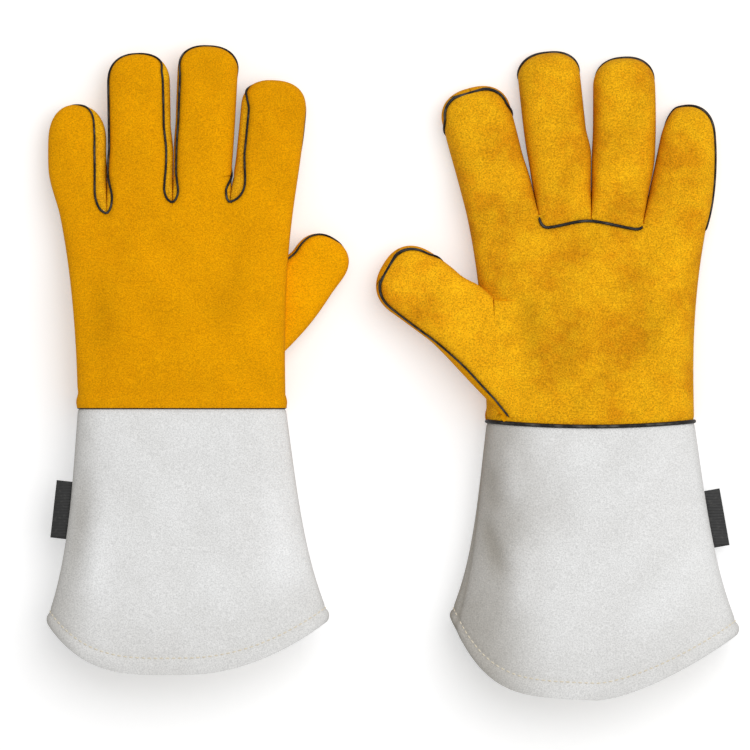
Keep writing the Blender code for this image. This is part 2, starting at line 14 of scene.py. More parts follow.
import bmesh
import bpy
import numpy as np
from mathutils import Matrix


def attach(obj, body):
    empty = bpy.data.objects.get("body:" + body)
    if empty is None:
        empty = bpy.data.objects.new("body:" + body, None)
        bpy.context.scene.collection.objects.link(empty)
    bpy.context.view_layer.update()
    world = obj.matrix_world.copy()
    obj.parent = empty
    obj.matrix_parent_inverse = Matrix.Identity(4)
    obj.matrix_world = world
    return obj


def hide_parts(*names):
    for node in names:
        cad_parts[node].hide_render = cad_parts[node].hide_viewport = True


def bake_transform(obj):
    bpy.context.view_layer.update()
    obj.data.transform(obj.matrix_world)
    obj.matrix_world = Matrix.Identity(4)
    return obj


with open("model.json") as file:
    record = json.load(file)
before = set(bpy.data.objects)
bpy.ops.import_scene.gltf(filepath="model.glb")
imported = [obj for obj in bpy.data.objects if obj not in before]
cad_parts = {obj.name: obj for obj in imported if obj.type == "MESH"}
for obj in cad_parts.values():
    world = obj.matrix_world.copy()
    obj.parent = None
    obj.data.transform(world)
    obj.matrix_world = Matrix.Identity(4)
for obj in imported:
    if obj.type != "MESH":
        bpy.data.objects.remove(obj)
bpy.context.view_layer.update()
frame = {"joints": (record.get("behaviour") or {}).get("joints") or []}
joints = {joint["name"]: joint for joint in frame["joints"]}

MM = 0.001
FULL_TURN = 2 * math.pi

# Sheet goods
LEATHER = 1.4 * MM
LINING = 1.2 * MM
LINING_GAP = 0.8 * MM
LINING_INTO_TIP = 0.6
HAND_LINING_ENDS_AT = 0.985
CUFF_LINING_ENDS_AT = 0.99

# Welts. Where the back laps over the cuff, the wrist welt is tucked under and thinner.
WELT_RADIUS = 0.63 * MM
THUMB_WELT_RADIUS = 0.55 * MM
BASE_WELT_RADIUS = 0.84 * MM
WRIST_WELT_RADIUS = 1.1 * MM
TUCKED_WELT_RADIUS = 0.6 * MM
WELT_PROUD = 0.1 * MM
BASE_WELT_PROUD = 0.25 * MM
WELT_OFF_FLOOR = 0.05 * MM
TIP_WELT_REACH = 20 * MM
WELT_STEP = 1.2 * MM
WELT_SIDES = 10
WELT_ENDS = (0, 0.85)

# The seam runs round every limb: how far the back rises above it, and how far the palm side hangs below it
FINGER_HEIGHTS = (9 * MM, 17 * MM)
KNUCKLE_HEIGHTS = (10.5 * MM, 20.5 * MM)
HAND_HEIGHTS = (12 * MM, 30 * MM)
WRIST_HEIGHTS = (16 * MM, 28 * MM)
HEM_HEIGHTS = (22 * MM, 32 * MM)
THUMB_HEIGHTS = (8.5 * MM, 14.5 * MM)

# The floor presses the lowest part of every section flat
REST_FLAT = 3 * MM
REST_SOFT = 1 * MM
REST_SINK = 0.08

# Squareness of the sections: 2 is an ellipse, and higher numbers are boxier
STALL_SQUARE = 2.9
HAND_SQUARE = 3.2
KNUCKLE_SQUARE = 4.5
CUFF_SQUARE = 2.5
TIP_SQUARE = 2.4

# Hand. The side welt and the linings start just past a limb's edge.
PALM_LENGTH = 111 * MM
WRIST_WIDTH = 115 * MM
BALL_AT = 0.5
SPREAD_POWER = 2.5
SAG_REACH = 40 * MM
HIDDEN_SEAM_TURN = 0.25
EDGE_SHARE = 0.01
SCALLOPS = (6 * MM, 2.6 * MM)
SCALLOP_CORNER = 0.16

# Knuckle line, where the hand's panels run on under the stalls' for a lap
KNUCKLE_SHIFT = -2.5 * MM
KNUCKLE_TILT = 4.8
KNUCKLE_LAP = 1.0 * MM
KNUCKLE_SINK = 0.15 * MM
KNUCKLE_EASE = 20 * MM
WALL_STEEP = 2.5

# Stalls: the share of the length over which direction, height and squareness go from the base's to their own
DIRECTION_SHARE = 0.8
HEIGHT_SHARE = 0.5
SQUARE_SHARE = 0.35

# Crotches: how a stall leaves its parting line, and how the welt rounds the bottom between two stalls
STALL_GAP = 0.16 * MM
GAP_RUN = 8 * MM
PARTING_ROUND = 2 * MM
PARTING_ROUND_RUN = 12 * MM
PARTING_RUN = 18 * MM
CROTCH_TURN = 0.17
CROTCH_FROM = 3 * MM
CROTCH_RUN = 8 * MM
CROTCH_LEVEL = 0.4 * MM
CROTCH_STEP_SHARE = 0.005
SEAM_LEAD = 1.6 * MM

# Tips: where the welt's line starts to cross over or under the tip, and over what share of the tip
TIP_CALM = 2 * MM
OVER_TIP_FROM = -0.5
UNDER_TIP_FROM = 0.3
TIP_CROSSING = 0.7

# Thumb, and its root on the palm-up glove's palm
THUMB_INSET = 5.5 * MM
THUMB_TUCK = 6 * MM
THUMB_ROOT = 34 * MM
ROOT_SLANT = 1.25
ROOT_OVER_WRIST = 3.5 * MM
ROOT_SINK = 16 * MM
ROOT_PROUD = 0.04 * MM
ROOT_ROUND = (4 * MM, 9 * MM)
ROOT_ROUND_EDGE = 0.25
ROOT_TURN = 0.4
ROOT_TURN_FROM = 6 * MM
ROOT_TURN_RUN = 9 * MM
UPPER_WELT_FROM = 9 * MM
LOWER_WELT_FROM = -8 * MM
BACK_WELT_AT = 0.02

# Cuff and its turned hem: the roll's height and fullness, and the sewn groove's depth and width
CUFF_FLICK = 9.5 * MM
CUFF_SQUARE_SHARE = 0.4
HEM_DEPTH = 8.5 * MM
HEM_ROLL = (0.5 * MM, 0.7)
HEM_GROOVE = (0.5 * MM, 1.6 * MM)
HEM_CORNER = 2.2 * MM
HEM_CORNER_AT = 0.955
HEM_CORNER_SHARE = 0.045
HEM_RUN_OF_DROP = 0.6

# Turned edge of the hand's back, where it laps over the cuff: its roll, and the sewn groove behind it
WRIST_LAP = 0.2 * MM
LAP_STEEP = 3
WELT_PAST_LAP = 0.1 * MM
WELT_UNDER_LAP = 0.35 * MM
LAP_ROLL = (1.0 * MM, 6.5 * MM)
LAP_GROOVE = (0.3 * MM, 8.5 * MM, 2.2 * MM)

# Hem stitches, with their shares of thickness and bow from one end to the other
STITCH_PITCH = 3.4 * MM
STITCH_LENGTH = 2.7 * MM
STITCH_RADIUS = 0.36 * MM
STITCH_BOW = 0.22 * MM
STITCH_PROUD = 0.1 * MM
STITCHES_FROM = 2 * MM
STITCHES_SHORT = 5 * MM
STITCH_SIDES = 6
STITCH_PROFILE = ((0, -1), (0.75, 0.4), (1, 1), (1, 1), (0.75, 0.4), (0, -1))

# Tab
TAB_LENGTH = 32 * MM
TAB_WIDTH = 8 * MM
TAB_THICKNESS = 1.0 * MM
TAB_TUCK = 1.8 * MM
TAB_SQUARE = 4.0
TAB_DROOP = 1.2 * MM
TAB_WAVE = 0.35 * MM
TAB_WAVE_TURN = 7.0

# Seams pull the leather in beside the welt, and keep it flat for some way
GROOVE_DEPTH = 0.6 * MM
GROOVE_WIDTH = 1.9 * MM
CALM_WIDTH = 6 * MM

# Soft hills of the leather, as heights and wavelengths, and how strongly each leather shows them
HILLS = ((0.45 * MM, 34 * MM), (0.16 * MM, 11 * MM))
HILL_WAVES = 8
HILL_SPREAD = (0.7, 1.5)
ROUGH = {"back": 0.6, "palm": 1.0, "cuff": 0.35}
CREASE_FADE = 0.42

# Near the crotches and the knuckle line the leather lifts straight up, so that neighbours stay joined
CROTCH_CALM = 5 * MM
KNUCKLE_CALM = 4 * MM
UPRIGHT_FROM = 0.4

# Tone of the leather: painted shade in hollows and painted highlight on ridges, painted shade on flanks, a
# painted highlight on a thumb, painted shade with dirt on a cuff's left, and a cuff darker towards its hem
TONE_LIFT = 2 * MM
TONE_MOST = 0.8
FLANK_PAINTED_SHADE = 0.45
FLANK_SLOPE = 0.75
THUMB_PAINTED_HIGHLIGHT = 0.45
THUMB_PAINTED_HIGHLIGHT_FROM = 26 * MM
THUMB_PAINTED_HIGHLIGHT_RUN = 40 * MM
HEM_DARKER = 0.3
HEM_DARKER_RUN = 45 * MM
LEFT_SHADE_UNDER_TURN = 0.3

# Distance between the points of a surface, points across a panel for each width of it, and counts of points
STEP = 1.1 * MM
STALL_TOP_GIRTH = 1.3
STALL_UNDER_GIRTH = 1.9
THUMB_GIRTH = 1.5
PANEL_GIRTH = 1.25
TIP_GIRTH = 0.6
CUFF_ROWS_OF_DROP = 0.7
FINE_TURNS = 401
WRIST_SEAM_POINTS = 260
SIDE_SEAM_POINTS = 100
BASE_SEAM_POINTS = 110
CUFF_SEAM_POINTS = 120
DIGIT_LINING_GRID = (40, 72)
HAND_LINING_GRID = (60, 160)
CUFF_LINING_GRID = (60, 200)
TAB_GRID = (40, 49)
MARKS_AT_ONCE = 300

# What counts as nothing: a share, a step, a vector, a sliver, and gaps that close or merge
NO_SHARE = 1e-6
NO_STEP = 1e-9
NO_LENGTH = 1e-12
SLIVER = 1e-7
CLOSED_GAP = 1e-6
MERGED_GAP = 2e-6

# Rims sharper than this many degrees aren't shaded smooth
SHARP_ANGLE = 60

THUMB_FOLD_BACK = 4 * MM


@dataclass
class Digit:
    """A stall, and where its welt lies on its left and right: so many mm in from the edge, seen from above.

    Each side has a value near the crotch, one along the stall and one at the tip, then the length of the
    curve at the crotch and that of the ease at the tip. Below zero the welt lies under the edge. With a
    tip_seam it crosses over the tip, or under it if below zero, at that share of the stall's rise.
    """

    name: str
    base: float
    width: float
    length: float
    lean: float
    bow: float
    tip: float
    left: tuple
    right: tuple
    taper: float = 0.45
    tip_seam: float = 0.0


@dataclass
class Fold:
    """A soft crease from one point to another, in mm from the middle of the wrist seam."""

    start: tuple
    end: tuple
    width: float
    height: float


@dataclass
class Glove:
    """One glove: how it lies, its digits from left to right, its thumb, its cuff and its creases.

    partings are the leans of the lines between fingers, which touch for the lengths in touching.
    cuff_seams gives how far the left and right side seams climb at the hem, in radians. After it comes the
    tone of the painted shade and dirt on the cuff's left, and where across the cuff it starts and is full.
    """

    name: str
    back_up: bool
    thumb_right: bool
    fingers: list
    partings: tuple
    touching: tuple
    thumb: Digit
    thumb_rise: float
    thumb_lift: tuple
    cuff_length: float
    hem_width: float
    hem_shift: float
    hem_tilt: float
    hem_drop: float
    hem_round: tuple
    wrist_sag: float
    crotch_rise: tuple
    cuff_seams: tuple
    cuff_shade_and_dirt: tuple
    tip_welt: float
    folds: list
    seed: int

    @property
    def wrist(self):
        """Middle of the wrist seam on the floor, where the wrist folds."""
        return np.array(joints[f"{self.name}_wrist_fold"]["pos_m"][:2])

    @property
    def cuff_run(self):
        """About how long the cuff is from its hem to the wrist."""
        return self.cuff_length + HEM_RUN_OF_DROP * self.hem_drop


BACK_UP_GLOVE = Glove(
    name="glove1",
    back_up=True,
    thumb_right=True,
    fingers=[
        Digit("little", 26 * MM, 33 * MM, 61 * MM, -1.4, -2.6 * MM, 20 * MM,
              left=(-1.2, -2, -2, 14, 17), right=(6.5, 6.2, 5, 14, 12)),
        Digit("ring", 36.5 * MM, 35 * MM, 87 * MM, -0.9, 0.3 * MM, 17 * MM,
              left=(3, 0.4, 0.1, 8, 12), right=(4.6, 3.7, 0.6, 9, 9)),
        Digit("middle", 32 * MM, 33.5 * MM, 88.5 * MM, 2.6, 0, 14 * MM,
              left=(3.2, 1.6, 0.2, 7, 17), right=(2.6, -0.8, 0.1, 7, 17)),
        Digit("index", 36 * MM, 36 * MM, 67 * MM, 6.2, 0.6 * MM, 16 * MM,
              left=(7.4, 4.6, 0.6, 9, 16), right=(-1.2, -0.3, -1.5, 14, 17), tip_seam=-0.45),
    ],
    partings=(-0.4, 0.7, 4.4),
    touching=(20 * MM, 30 * MM, 6 * MM),
    thumb=Digit("thumb", 50 * MM, 31.5 * MM, 53.5 * MM, 38, 1 * MM, 16 * MM,
                left=(1.8, 1.8, 1.2, 14, 17), right=(-3, -3, -3, 14, 17), taper=0.65),
    thumb_rise=49 * MM,
    thumb_lift=(3.7 * MM, 1.5 * MM),
    cuff_length=119 * MM,
    hem_width=159 * MM,
    hem_shift=3.5 * MM,
    hem_tilt=0.8,
    hem_drop=28.2 * MM,
    hem_round=(3.8, 2.0),
    wrist_sag=0.0,
    crotch_rise=(0, 3 * MM, 0.5 * MM),
    cuff_seams=(0, 0),
    cuff_shade_and_dirt=(0.75, 0.6, 0.4),
    tip_welt=0.52 * MM,
    folds=[
        Fold((-46, 80), (-42, 30), 8, -0.8),
        Fold((34, 92), (22, 40), 9, -0.4),
        Fold((-52, -30), (-62, -100), 8, -0.9),
        Fold((-44, -60), (-50, -112), 9, 0.6),
        Fold((48, -40), (60, -104), 10, 0.6),
    ],
    seed=3,
)

PALM_UP_GLOVE = Glove(
    name="glove2",
    back_up=False,
    thumb_right=False,
    fingers=[
        Digit("index", 40.5 * MM, 39 * MM, 72.5 * MM, -14.6, 0, 17 * MM,
              left=(-3, -1.5, -1, 14, 17), right=(-4, -3, -1, 3.6, 17), tip_seam=0.6),
        Digit("middle", 29 * MM, 34.5 * MM, 93 * MM, -6.2, 0, 14 * MM,
              left=(-4, -2, 0.4, 3.6, 17), right=(-4, -1.5, 0.2, 3.6, 17)),
        Digit("ring", 28.5 * MM, 35.5 * MM, 92 * MM, 1.8, 2.7 * MM, 16 * MM,
              left=(-4, -2.5, -0.4, 3.6, 17), right=(-4, -1.4, 0.2, 3.6, 17)),
        Digit("little", 35.5 * MM, 35 * MM, 67.5 * MM, 2.8, 4.4 * MM, 16 * MM,
              left=(-4, -3, -0.5, 3.6, 17), right=(0.2, 0.5, 0.8, 14, 17)),
    ],
    partings=(-11.3, 0.9, 12.0),
    touching=(16 * MM, 33 * MM, 26 * MM),
    thumb=Digit("thumb", 60 * MM, 40 * MM, 79 * MM, -51.2, 2.6 * MM, 20 * MM,
                left=(4.6, 1.3, 2.4, 14, 17), right=(-4, -1, 0, 14, 17), taper=0.5, tip_seam=0.6),
    thumb_rise=36.5 * MM,
    thumb_lift=(17.7 * MM, 7.2 * MM),
    cuff_length=114 * MM,
    hem_width=163 * MM,
    hem_shift=2.2 * MM,
    hem_tilt=-2.7,
    hem_drop=39.8 * MM,
    hem_round=(4.5, 1.45),
    wrist_sag=2.8 * MM,
    crotch_rise=(0, 0, 0),
    cuff_seams=(0.3, 0),
    cuff_shade_and_dirt=(1.25, 0.2, 0.55),
    tip_welt=0.95 * MM,
    folds=[
        Fold((-38, 74), (-30, 30), 7, -1.2),
        Fold((-10, 64), (-16, 12), 8, -0.8),
        Fold((30, 80), (36, 20), 9, -0.8),
        Fold((-46, -8), (-42, -48), 6, 0.8),
        Fold((-59, -22), (-54, -52), 6, -0.9),
        Fold((-62, -48), (-49, -88), 6, -1.2),
        Fold((-38, -64), (-40, -108), 8, 0.9),
        Fold((-30, -14), (-10, -70), 12, -0.6),
    ],
    seed=8,
)


# Small sums


def mix(a, b, share):
    """Goes in a straight line from a to b while share goes from 0 to 1."""
    return a + (b - a) * share


def smooth(x):
    """Eases from 0 to 1 while x goes from 0 to 1."""
    x = np.clip(x, 0, 1)
    return x * x * (3 - 2 * x)


def bell(x, power=2):
    """1 at zero, falling off to both sides as exp(-x^power)."""
    return np.exp(-(x**power))


def soft_min(a, b, ease):
    """The lesser of a and b, with a round corner where they differ by less than ease."""
    near = np.maximum(ease - np.abs(a - b), 0)
    return np.minimum(a, b) - near**2 / (4 * np.maximum(ease, NO_STEP))


def soft_max(a, b, ease):
    """The greater of a and b, with the same round corner."""
    return -soft_min(-a, -b, ease)


def heading(lean):
    """Unit vector on the floor that leans this many degrees from +Y towards +X."""
    return np.array([math.sin(math.radians(lean)), math.cos(math.radians(lean))])


def right_of(direction):
    """A direction on the floor, turned a quarter to the right."""
    return np.stack([direction[..., 1], -direction[..., 0]], axis=-1)


def unit(vectors):
    """The same directions at length 1."""
    return vectors / np.maximum(np.linalg.norm(vectors, axis=-1, keepdims=True), NO_LENGTH)


def cross(a, b):
    """Cross product of vectors on the floor."""
    return a[..., 0] * b[..., 1] - a[..., 1] * b[..., 0]


def reach_to_line(centre, way, point, direction):
    """Distance from each centre, along its way, to the line through point in that direction."""
    return cross(point - centre, direction) / cross(way, direction)


def along_path(path):
    """Length of the path up to each of its points."""
    return np.pad(np.cumsum(np.linalg.norm(np.diff(path, axis=0), axis=1)), (1, 0))


def points_at(at, run, values):
    """Values in three axes, read at these lengths along their run."""
    return np.stack([np.interp(at, run, values[:, axis]) for axis in range(3)], axis=1)


def resample(path, step):
    """The path again with points this far apart."""
    run = along_path(path)
    return points_at(np.linspace(0, run[-1], max(8, math.ceil(run[-1] / step))), run, path)


def swap(glove, rise, depth):
    """The reach above the seam and the reach below it, as the glove lies."""
    return (rise, depth) if glove.back_up else (depth, rise)


def outline(turn, square):
    """A unit superellipse: across = cos|cos|^(2/n - 1) and height = sin|sin|^(2/n - 1) at each turn."""
    c, s = np.cos(turn), np.sin(turn)
    return np.sign(c) * np.abs(c) ** (2 / square), np.sign(s) * np.abs(s) ** (2 / square)


def swell(across, square):
    """Height of the unit superellipse over a place across it, (1 - |x|^n)^(1/n)."""
    return (1 - np.minimum(np.abs(across), 1) ** square) ** (1 / square)


def sag(glove, across, height, away):
    """How far the wrist seam sags on the upper side, dying out away from it: a parabola across."""
    return np.where(height > 0, glove.wrist_sag * (1 - across**2) * (1 - smooth(away / SAG_REACH)), 0)


def rest(z):
    """Presses what would lie below the floor flat on it: half of z plus its hyperbola."""
    return (z + np.sqrt(z**2 + REST_SOFT**2)) / 2 - REST_SOFT * REST_SINK


def stand(plan, z):
    """Points in space from their places on the floor and their heights."""
    return np.concatenate([plan, z[..., None]], axis=-1)


# Surfaces of one glove: the hand, its stalls and its cuff


def knuckle_way(glove):
    """Direction of the knuckle line, tilted up towards the thumb's side."""
    tilt = KNUCKLE_TILT if glove.thumb_right else -KNUCKLE_TILT
    return right_of(heading(-tilt))


def knuckle_width(glove):
    """Length of the knuckle line: all finger bases together."""
    return sum(finger.base for finger in glove.fingers)


def knuckle_middle(glove):
    """Middle of the knuckle line on the floor."""
    return glove.wrist + np.array([KNUCKLE_SHIFT, PALM_LENGTH])


def knuckle_ends(glove):
    """Places along the knuckle line, from its middle, where one finger base ends and the next begins."""
    return np.cumsum([0] + [finger.base for finger in glove.fingers]) - knuckle_width(glove) / 2


def crotches(glove):
    """The same places as points on the floor."""
    return knuckle_middle(glove) + knuckle_ends(glove)[:, None] * knuckle_way(glove)


class Hand:
    """The hand's surface: along runs from 0 at the wrist seam to 1 at the knuckle line.

    The section's half width widens with the 2.5th power of along, and its height eases from the wrist to
    the ball of the hand and on to the knuckles.
    """

    def __init__(self, glove):
        self.glove = glove

    def section(self, along):
        """Half width, reach above the seam and below it, and squareness."""
        low, high = smooth(along / BALL_AT), smooth((along - BALL_AT) / (1 - BALL_AT))
        heights = zip(WRIST_HEIGHTS, HAND_HEIGHTS, KNUCKLE_HEIGHTS)
        rise, depth = (mix(mix(wrist, ball, low), knuckle, high) for wrist, ball, knuckle in heights)
        up, down = swap(self.glove, rise, depth)
        half = mix(WRIST_WIDTH, knuckle_width(self.glove), np.clip(along, 0, 1) ** SPREAD_POWER) / 2
        return half, up, down, mix(HAND_SQUARE, KNUCKLE_SQUARE, high)

    def height(self, along, across, above):
        """Height over the floor of the upper or lower skin at a place across the section."""
        _, up, down, square = self.section(along)
        reach = np.where(above, up, -down)
        return rest(down - REST_FLAT + reach * swell(across, square))

    def plan_frame(self, along):
        """Middle of each section on the floor, and its way across: from the wrist's to the knuckle line's."""
        way = unit(mix(np.array([1.0, 0.0]), knuckle_way(self.glove), smooth(along)[..., None]))
        return mix(self.glove.wrist, knuckle_middle(self.glove), along[..., None]), way

    def plan(self, along, side):
        """Places on the floor, this far to the right of the middle."""
        centre, way = self.plan_frame(along)
        return centre + side[..., None] * way

    def points(self, along, turn):
        """Points of the surface at these places along it and turns round it."""
        along = np.broadcast_to(along, turn.shape)
        half, _, _, square = self.section(along)
        across, height = outline(turn, square)
        z = self.height(along, across, height > 0)
        plan = self.plan(along, half * across)
        plan[..., 1] -= sag(self.glove, across, height, np.abs(along) * PALM_LENGTH)
        return stand(plan, z)

    def find(self, plan):
        """The along and across of points on the floor, by three rounds of substitution."""
        along = (plan[..., 1] - self.glove.wrist[1]) / PALM_LENGTH
        for _ in range(3):
            half, _, _, _ = self.section(along)
            centre, way = self.plan_frame(along)
            side = ((plan - centre) * way).sum(axis=-1)
            along = along + (plan - centre - side[..., None] * way)[..., 1] / PALM_LENGTH
        return along, side / half


class Stall:
    """A finger's or thumb's surface: along runs from 0 at its base to 1 at its tip.

    The middle follows a quadratic curve that bulges by the bow. Near the tip the section closes as
    (1 - x^n)^(1/n). A finger's skin eases from the hand's height at the knuckle line to its own.
    """

    fold_back, welt_radius, lining_from = 0.0, WELT_RADIUS, EDGE_SHARE

    def __init__(self, glove, digit, middle, way, sizes, partings=(None, None), touching=(0, 0), rises=(0, 0),
                 across_at=None):
        self.glove, self.digit, self.middle, self.way = glove, digit, middle, way
        self.sizes, self.partings, self.touching, self.rises = sizes, partings, touching, rises
        self.across_at = across_at
        self.hand = Hand(glove)
        self.tip_at = 1 - digit.tip / digit.length

    def past_tip(self, along):
        """Share of the rounded tip that is passed, below zero before it."""
        return (along - self.tip_at) / (1 - self.tip_at)

    def closing(self, along):
        """Share of the section that is left on the way round the tip."""
        return (1 - np.clip(self.past_tip(along), 0, 1) ** TIP_SQUARE) ** (1 / TIP_SQUARE)

    def plan_frame(self, along):
        """Middle of each section on the floor, and its way across: from the base's to square to the curve."""
        digit = self.digit
        end = self.middle + digit.length * heading(digit.lean)
        control = (self.middle + end) / 2 + 2 * digit.bow * right_of(heading(digit.lean))
        t = along[..., None]
        centre = (1 - t) ** 2 * self.middle + 2 * t * (1 - t) * control + t**2 * end
        across = unit(right_of(mix(control - self.middle, end - control, t)))
        way = unit(mix(self.way, across, smooth(along / DIRECTION_SHARE)[..., None]))
        return centre, way

    def reaches(self, along):
        """Half widths to the right and to the left. Near the crotch a stall fills up to its parting line."""
        digit = self.digit
        centre, way = self.plan_frame(along)
        half = mix(digit.base, digit.width, smooth(along / digit.taper)) / 2
        from_base = along * digit.length
        sides = []
        for parting, touching, rise, side in zip(self.partings, self.touching, self.rises, (-1, 1)):
            reach = half
            if parting is not None:
                gap = STALL_GAP / 2 * smooth((from_base - rise) / GAP_RUN)
                limit = reach_to_line(centre, side * way, *parting) - gap
                free = soft_min(half, limit, PARTING_ROUND * smooth(from_base / PARTING_ROUND_RUN))
                reach = mix(limit, free, smooth((from_base - touching) / PARTING_RUN))
            sides.append(reach)
        return sides[1], sides[0]

    def section(self, along):
        """Reach above the seam and below it, squareness, and the seam's height over the floor."""
        (up_base, down_base), (up_stall, down_stall), (lift_base, lift_tip) = self.sizes
        ease = smooth(along / HEIGHT_SHARE)
        up, down = mix(up_base, up_stall, ease), mix(down_base, down_stall, ease)
        square = mix(KNUCKLE_SQUARE, STALL_SQUARE, smooth(along / SQUARE_SHARE))
        seam = down - REST_FLAT + mix(lift_base, lift_tip, smooth(along))
        return up, down, square, seam

    def points(self, along, turn):
        """Points of the surface at these places along it and turns round it."""
        along = np.broadcast_to(along, turn.shape)
        up, down, square, seam = self.section(along)
        across, height = outline(turn, square)
        centre, way = self.plan_frame(along)
        right, left = self.reaches(along)
        closing = self.closing(along)
        side = np.where(across > 0, right, left) * across * closing
        z = rest(seam + np.where(height > 0, up, down) * height * closing)
        if self.across_at is not None:
            at = mix(*self.across_at, (across + 1) / 2)
            skin = self.hand.height(np.ones_like(at), at, height > 0)
            wall = np.minimum(WALL_STEEP * np.abs(height), 1)
            knuckle = mix(seam, skin, wall)
            z = mix(knuckle, z, smooth(along * self.digit.length / KNUCKLE_EASE))
        return stand(centre + side[..., None] * way, z)

    def seam_turn(self, along, right_side):
        """Turn of the welt's line: an arc at the crotch, then the stall's own inset, then the tip's."""
        digit = self.digit
        number = 1 if right_side else 0
        near, run, end, arc, ease = np.array((digit.left, digit.right)[number]) * MM
        reach = self.reaches(along)[1 - number]
        square = self.section(along)[2]
        from_base, to_tip = along * digit.length, (1 - along) * digit.length
        parted, rise = self.partings[number] is not None, self.rises[number]

        def turned(inset):
            """Turn at which the outline lies this far in from its edge."""
            share = np.clip(1 - np.abs(inset) / reach, 0, 1)
            return np.sign(inset) * np.arccos(share ** (square / 2))

        if parted:
            lead = np.clip(1 - (from_base - rise) / arc, 0, 1)
            near = near * np.sqrt(1 - lead**2)
        turn = mix(turned(near), turned(run), smooth((from_base - arc) / (2 * arc)))
        if parted and self.glove.back_up:
            free = smooth((from_base - rise - CROTCH_FROM) / CROTCH_RUN)
            turn = mix(np.maximum(turn, CROTCH_TURN), turn, free)
        turn = mix(turned(end), turn, smooth((to_tip - TIP_CALM) / ease))
        if digit.tip_seam:
            crossing = np.minimum(abs(digit.tip_seam) / np.maximum(self.closing(along), NO_SHARE), 1)
            over = np.arcsin(crossing ** (square / 2)) * np.sign(digit.tip_seam)
            starts = UNDER_TIP_FROM if digit.tip_seam < 0 else OVER_TIP_FROM
            turn = mix(turn, over, smooth((self.past_tip(along) - starts) / TIP_CROSSING))
        return turn if right_side else math.pi - turn

    def seam(self, start=0.0):
        """The welt's path, up the right side and down the left, kept at the skin's height in a crotch."""
        rises = np.array(self.rises) / self.digit.length
        along = np.unique(np.concatenate([self.steps(start), rises, rises + CROTCH_STEP_SHARE]))
        along = along[self.closing(along) >= abs(self.digit.tip_seam)]
        from_base = along * self.digit.length
        sides = []
        for number in (1, 0):
            parted = self.partings[number] is not None
            rise = self.rises[number] if parted else self.seam_start(start, number)
            path = self.points(along[:, None], self.seam_turn(along, number == 1)[:, None])[:, 0]
            if parted:
                path[:, 2] = np.interp(np.maximum(from_base, rise + CROTCH_LEVEL), from_base, path[:, 2])
            path = path[from_base >= rise - NO_STEP]
            lead = SEAM_LEAD if parted else 0.0
            sides.append(np.concatenate([path[:1] + lead * unit(path[:1] - path[1:2]), path]))
        return resample(np.concatenate([sides[0], sides[1][-2::-1]]), WELT_STEP)

    def seam_start(self, start, number):
        """How far from the base the welt starts on a side without a parting."""
        return start * self.digit.length

    def steps(self, start):
        """Places along the stall, even along its sides and round its tip."""
        run = np.linspace(start, self.tip_at, math.ceil((self.tip_at - start) * self.digit.length / STEP))
        count = math.ceil(TIP_GIRTH * self.digit.width / STEP)
        round_tip = np.sin(np.linspace(0, math.pi / 2, count + 1)[1:]) ** (2 / TIP_SQUARE)
        return np.concatenate([run, mix(self.tip_at, 1, round_tip)])

    def panel_start(self, above):
        """Where along the stall its upper or lower panel starts."""
        return 0.0

    def columns(self, above):
        """How many points go across the upper or lower panel."""
        return math.ceil((STALL_TOP_GIRTH if above else STALL_UNDER_GIRTH) * self.digit.width / STEP)

    def lightened(self, along):
        """How much lighter the leather is painted, as a painted highlight: not at all on a finger."""
        return 0.0

    def tip_point(self):
        """Where the stall ends on the floor."""
        return self.plan_frame(np.array(1.0))[0]


class Thumb(Stall):
    """A thumb. On the palm-up glove its root runs on over the palm and melts into it.

    Behind its base the sections keep their width and sink, and the skin is the rounded greater of the
    thumb's height and the palm's. Its lower side slants down to the wrist seam there.
    """

    fold_back, welt_radius, lining_from = THUMB_FOLD_BACK, THUMB_WELT_RADIUS, 0.0

    def panel_start(self, above):
        """Both panels tuck into the hand, and the palm-up glove's front runs on as the root."""
        root = THUMB_ROOT if above and not self.glove.back_up else THUMB_TUCK
        return -root / self.digit.length

    def columns(self, above):
        """The same number above and below."""
        return math.ceil(THUMB_GIRTH * self.digit.base / STEP)

    def lightened(self, along):
        """A thumb is painted lighter from its root on: a painted highlight."""
        return THUMB_PAINTED_HIGHLIGHT * smooth((along * self.digit.length + THUMB_PAINTED_HIGHLIGHT_FROM) / THUMB_PAINTED_HIGHLIGHT_RUN)

    def reaches(self, along):
        """Half widths as a stall's, with the root's slanted lower side."""
        right, left = super().reaches(along)
        back = np.maximum(-along, 0) * self.digit.length
        low = np.minimum(ROOT_SLANT * back, self.glove.thumb_rise - self.digit.base / 2 + ROOT_OVER_WRIST)
        return right, left if self.glove.back_up else left + low

    def seam_turn(self, along, right_side):
        """The root's upper side ends on the palm, where it is flush."""
        turn = super().seam_turn(along, right_side)
        if self.glove.back_up or not right_side:
            return turn
        return mix(turn, ROOT_TURN, smooth((ROOT_TURN_FROM - along * self.digit.length) / ROOT_TURN_RUN))

    def seam_start(self, start, number):
        """On the palm-up glove the welt's upper end stops in the crotch."""
        return start * self.digit.length if self.glove.back_up or number == 0 else UPPER_WELT_FROM

    def plan_frame(self, along):
        """Behind the base the middle runs straight on into the hand."""
        centre, way = super().plan_frame(np.maximum(along, 0))
        out = -right_of(self.way)
        return centre + np.minimum(along, 0)[..., None] * self.digit.length * out, way

    def points(self, along, turn):
        """Points as a stall's. On the palm-up glove the root melts into the palm."""
        along = np.broadcast_to(along, turn.shape)
        made = super().points(along, turn)
        if self.glove.back_up:
            return made
        back = np.maximum(-along, 0) * self.digit.length
        sunk = made[..., 2] - ROOT_SINK * smooth(back / THUMB_ROOT)
        at, across = self.hand.find(made[..., :2])
        palm = self.hand.height(at, across, np.ones(at.shape, bool)) + ROOT_PROUD
        merged = soft_max(sunk, palm, mix(*ROOT_ROUND, smooth((1 - np.abs(across)) / ROOT_ROUND_EDGE)))
        on_palm = (np.abs(across) < 1) & (np.sin(turn) > 0)
        made[..., 2] = np.where(on_palm, merged, sunk)
        return made


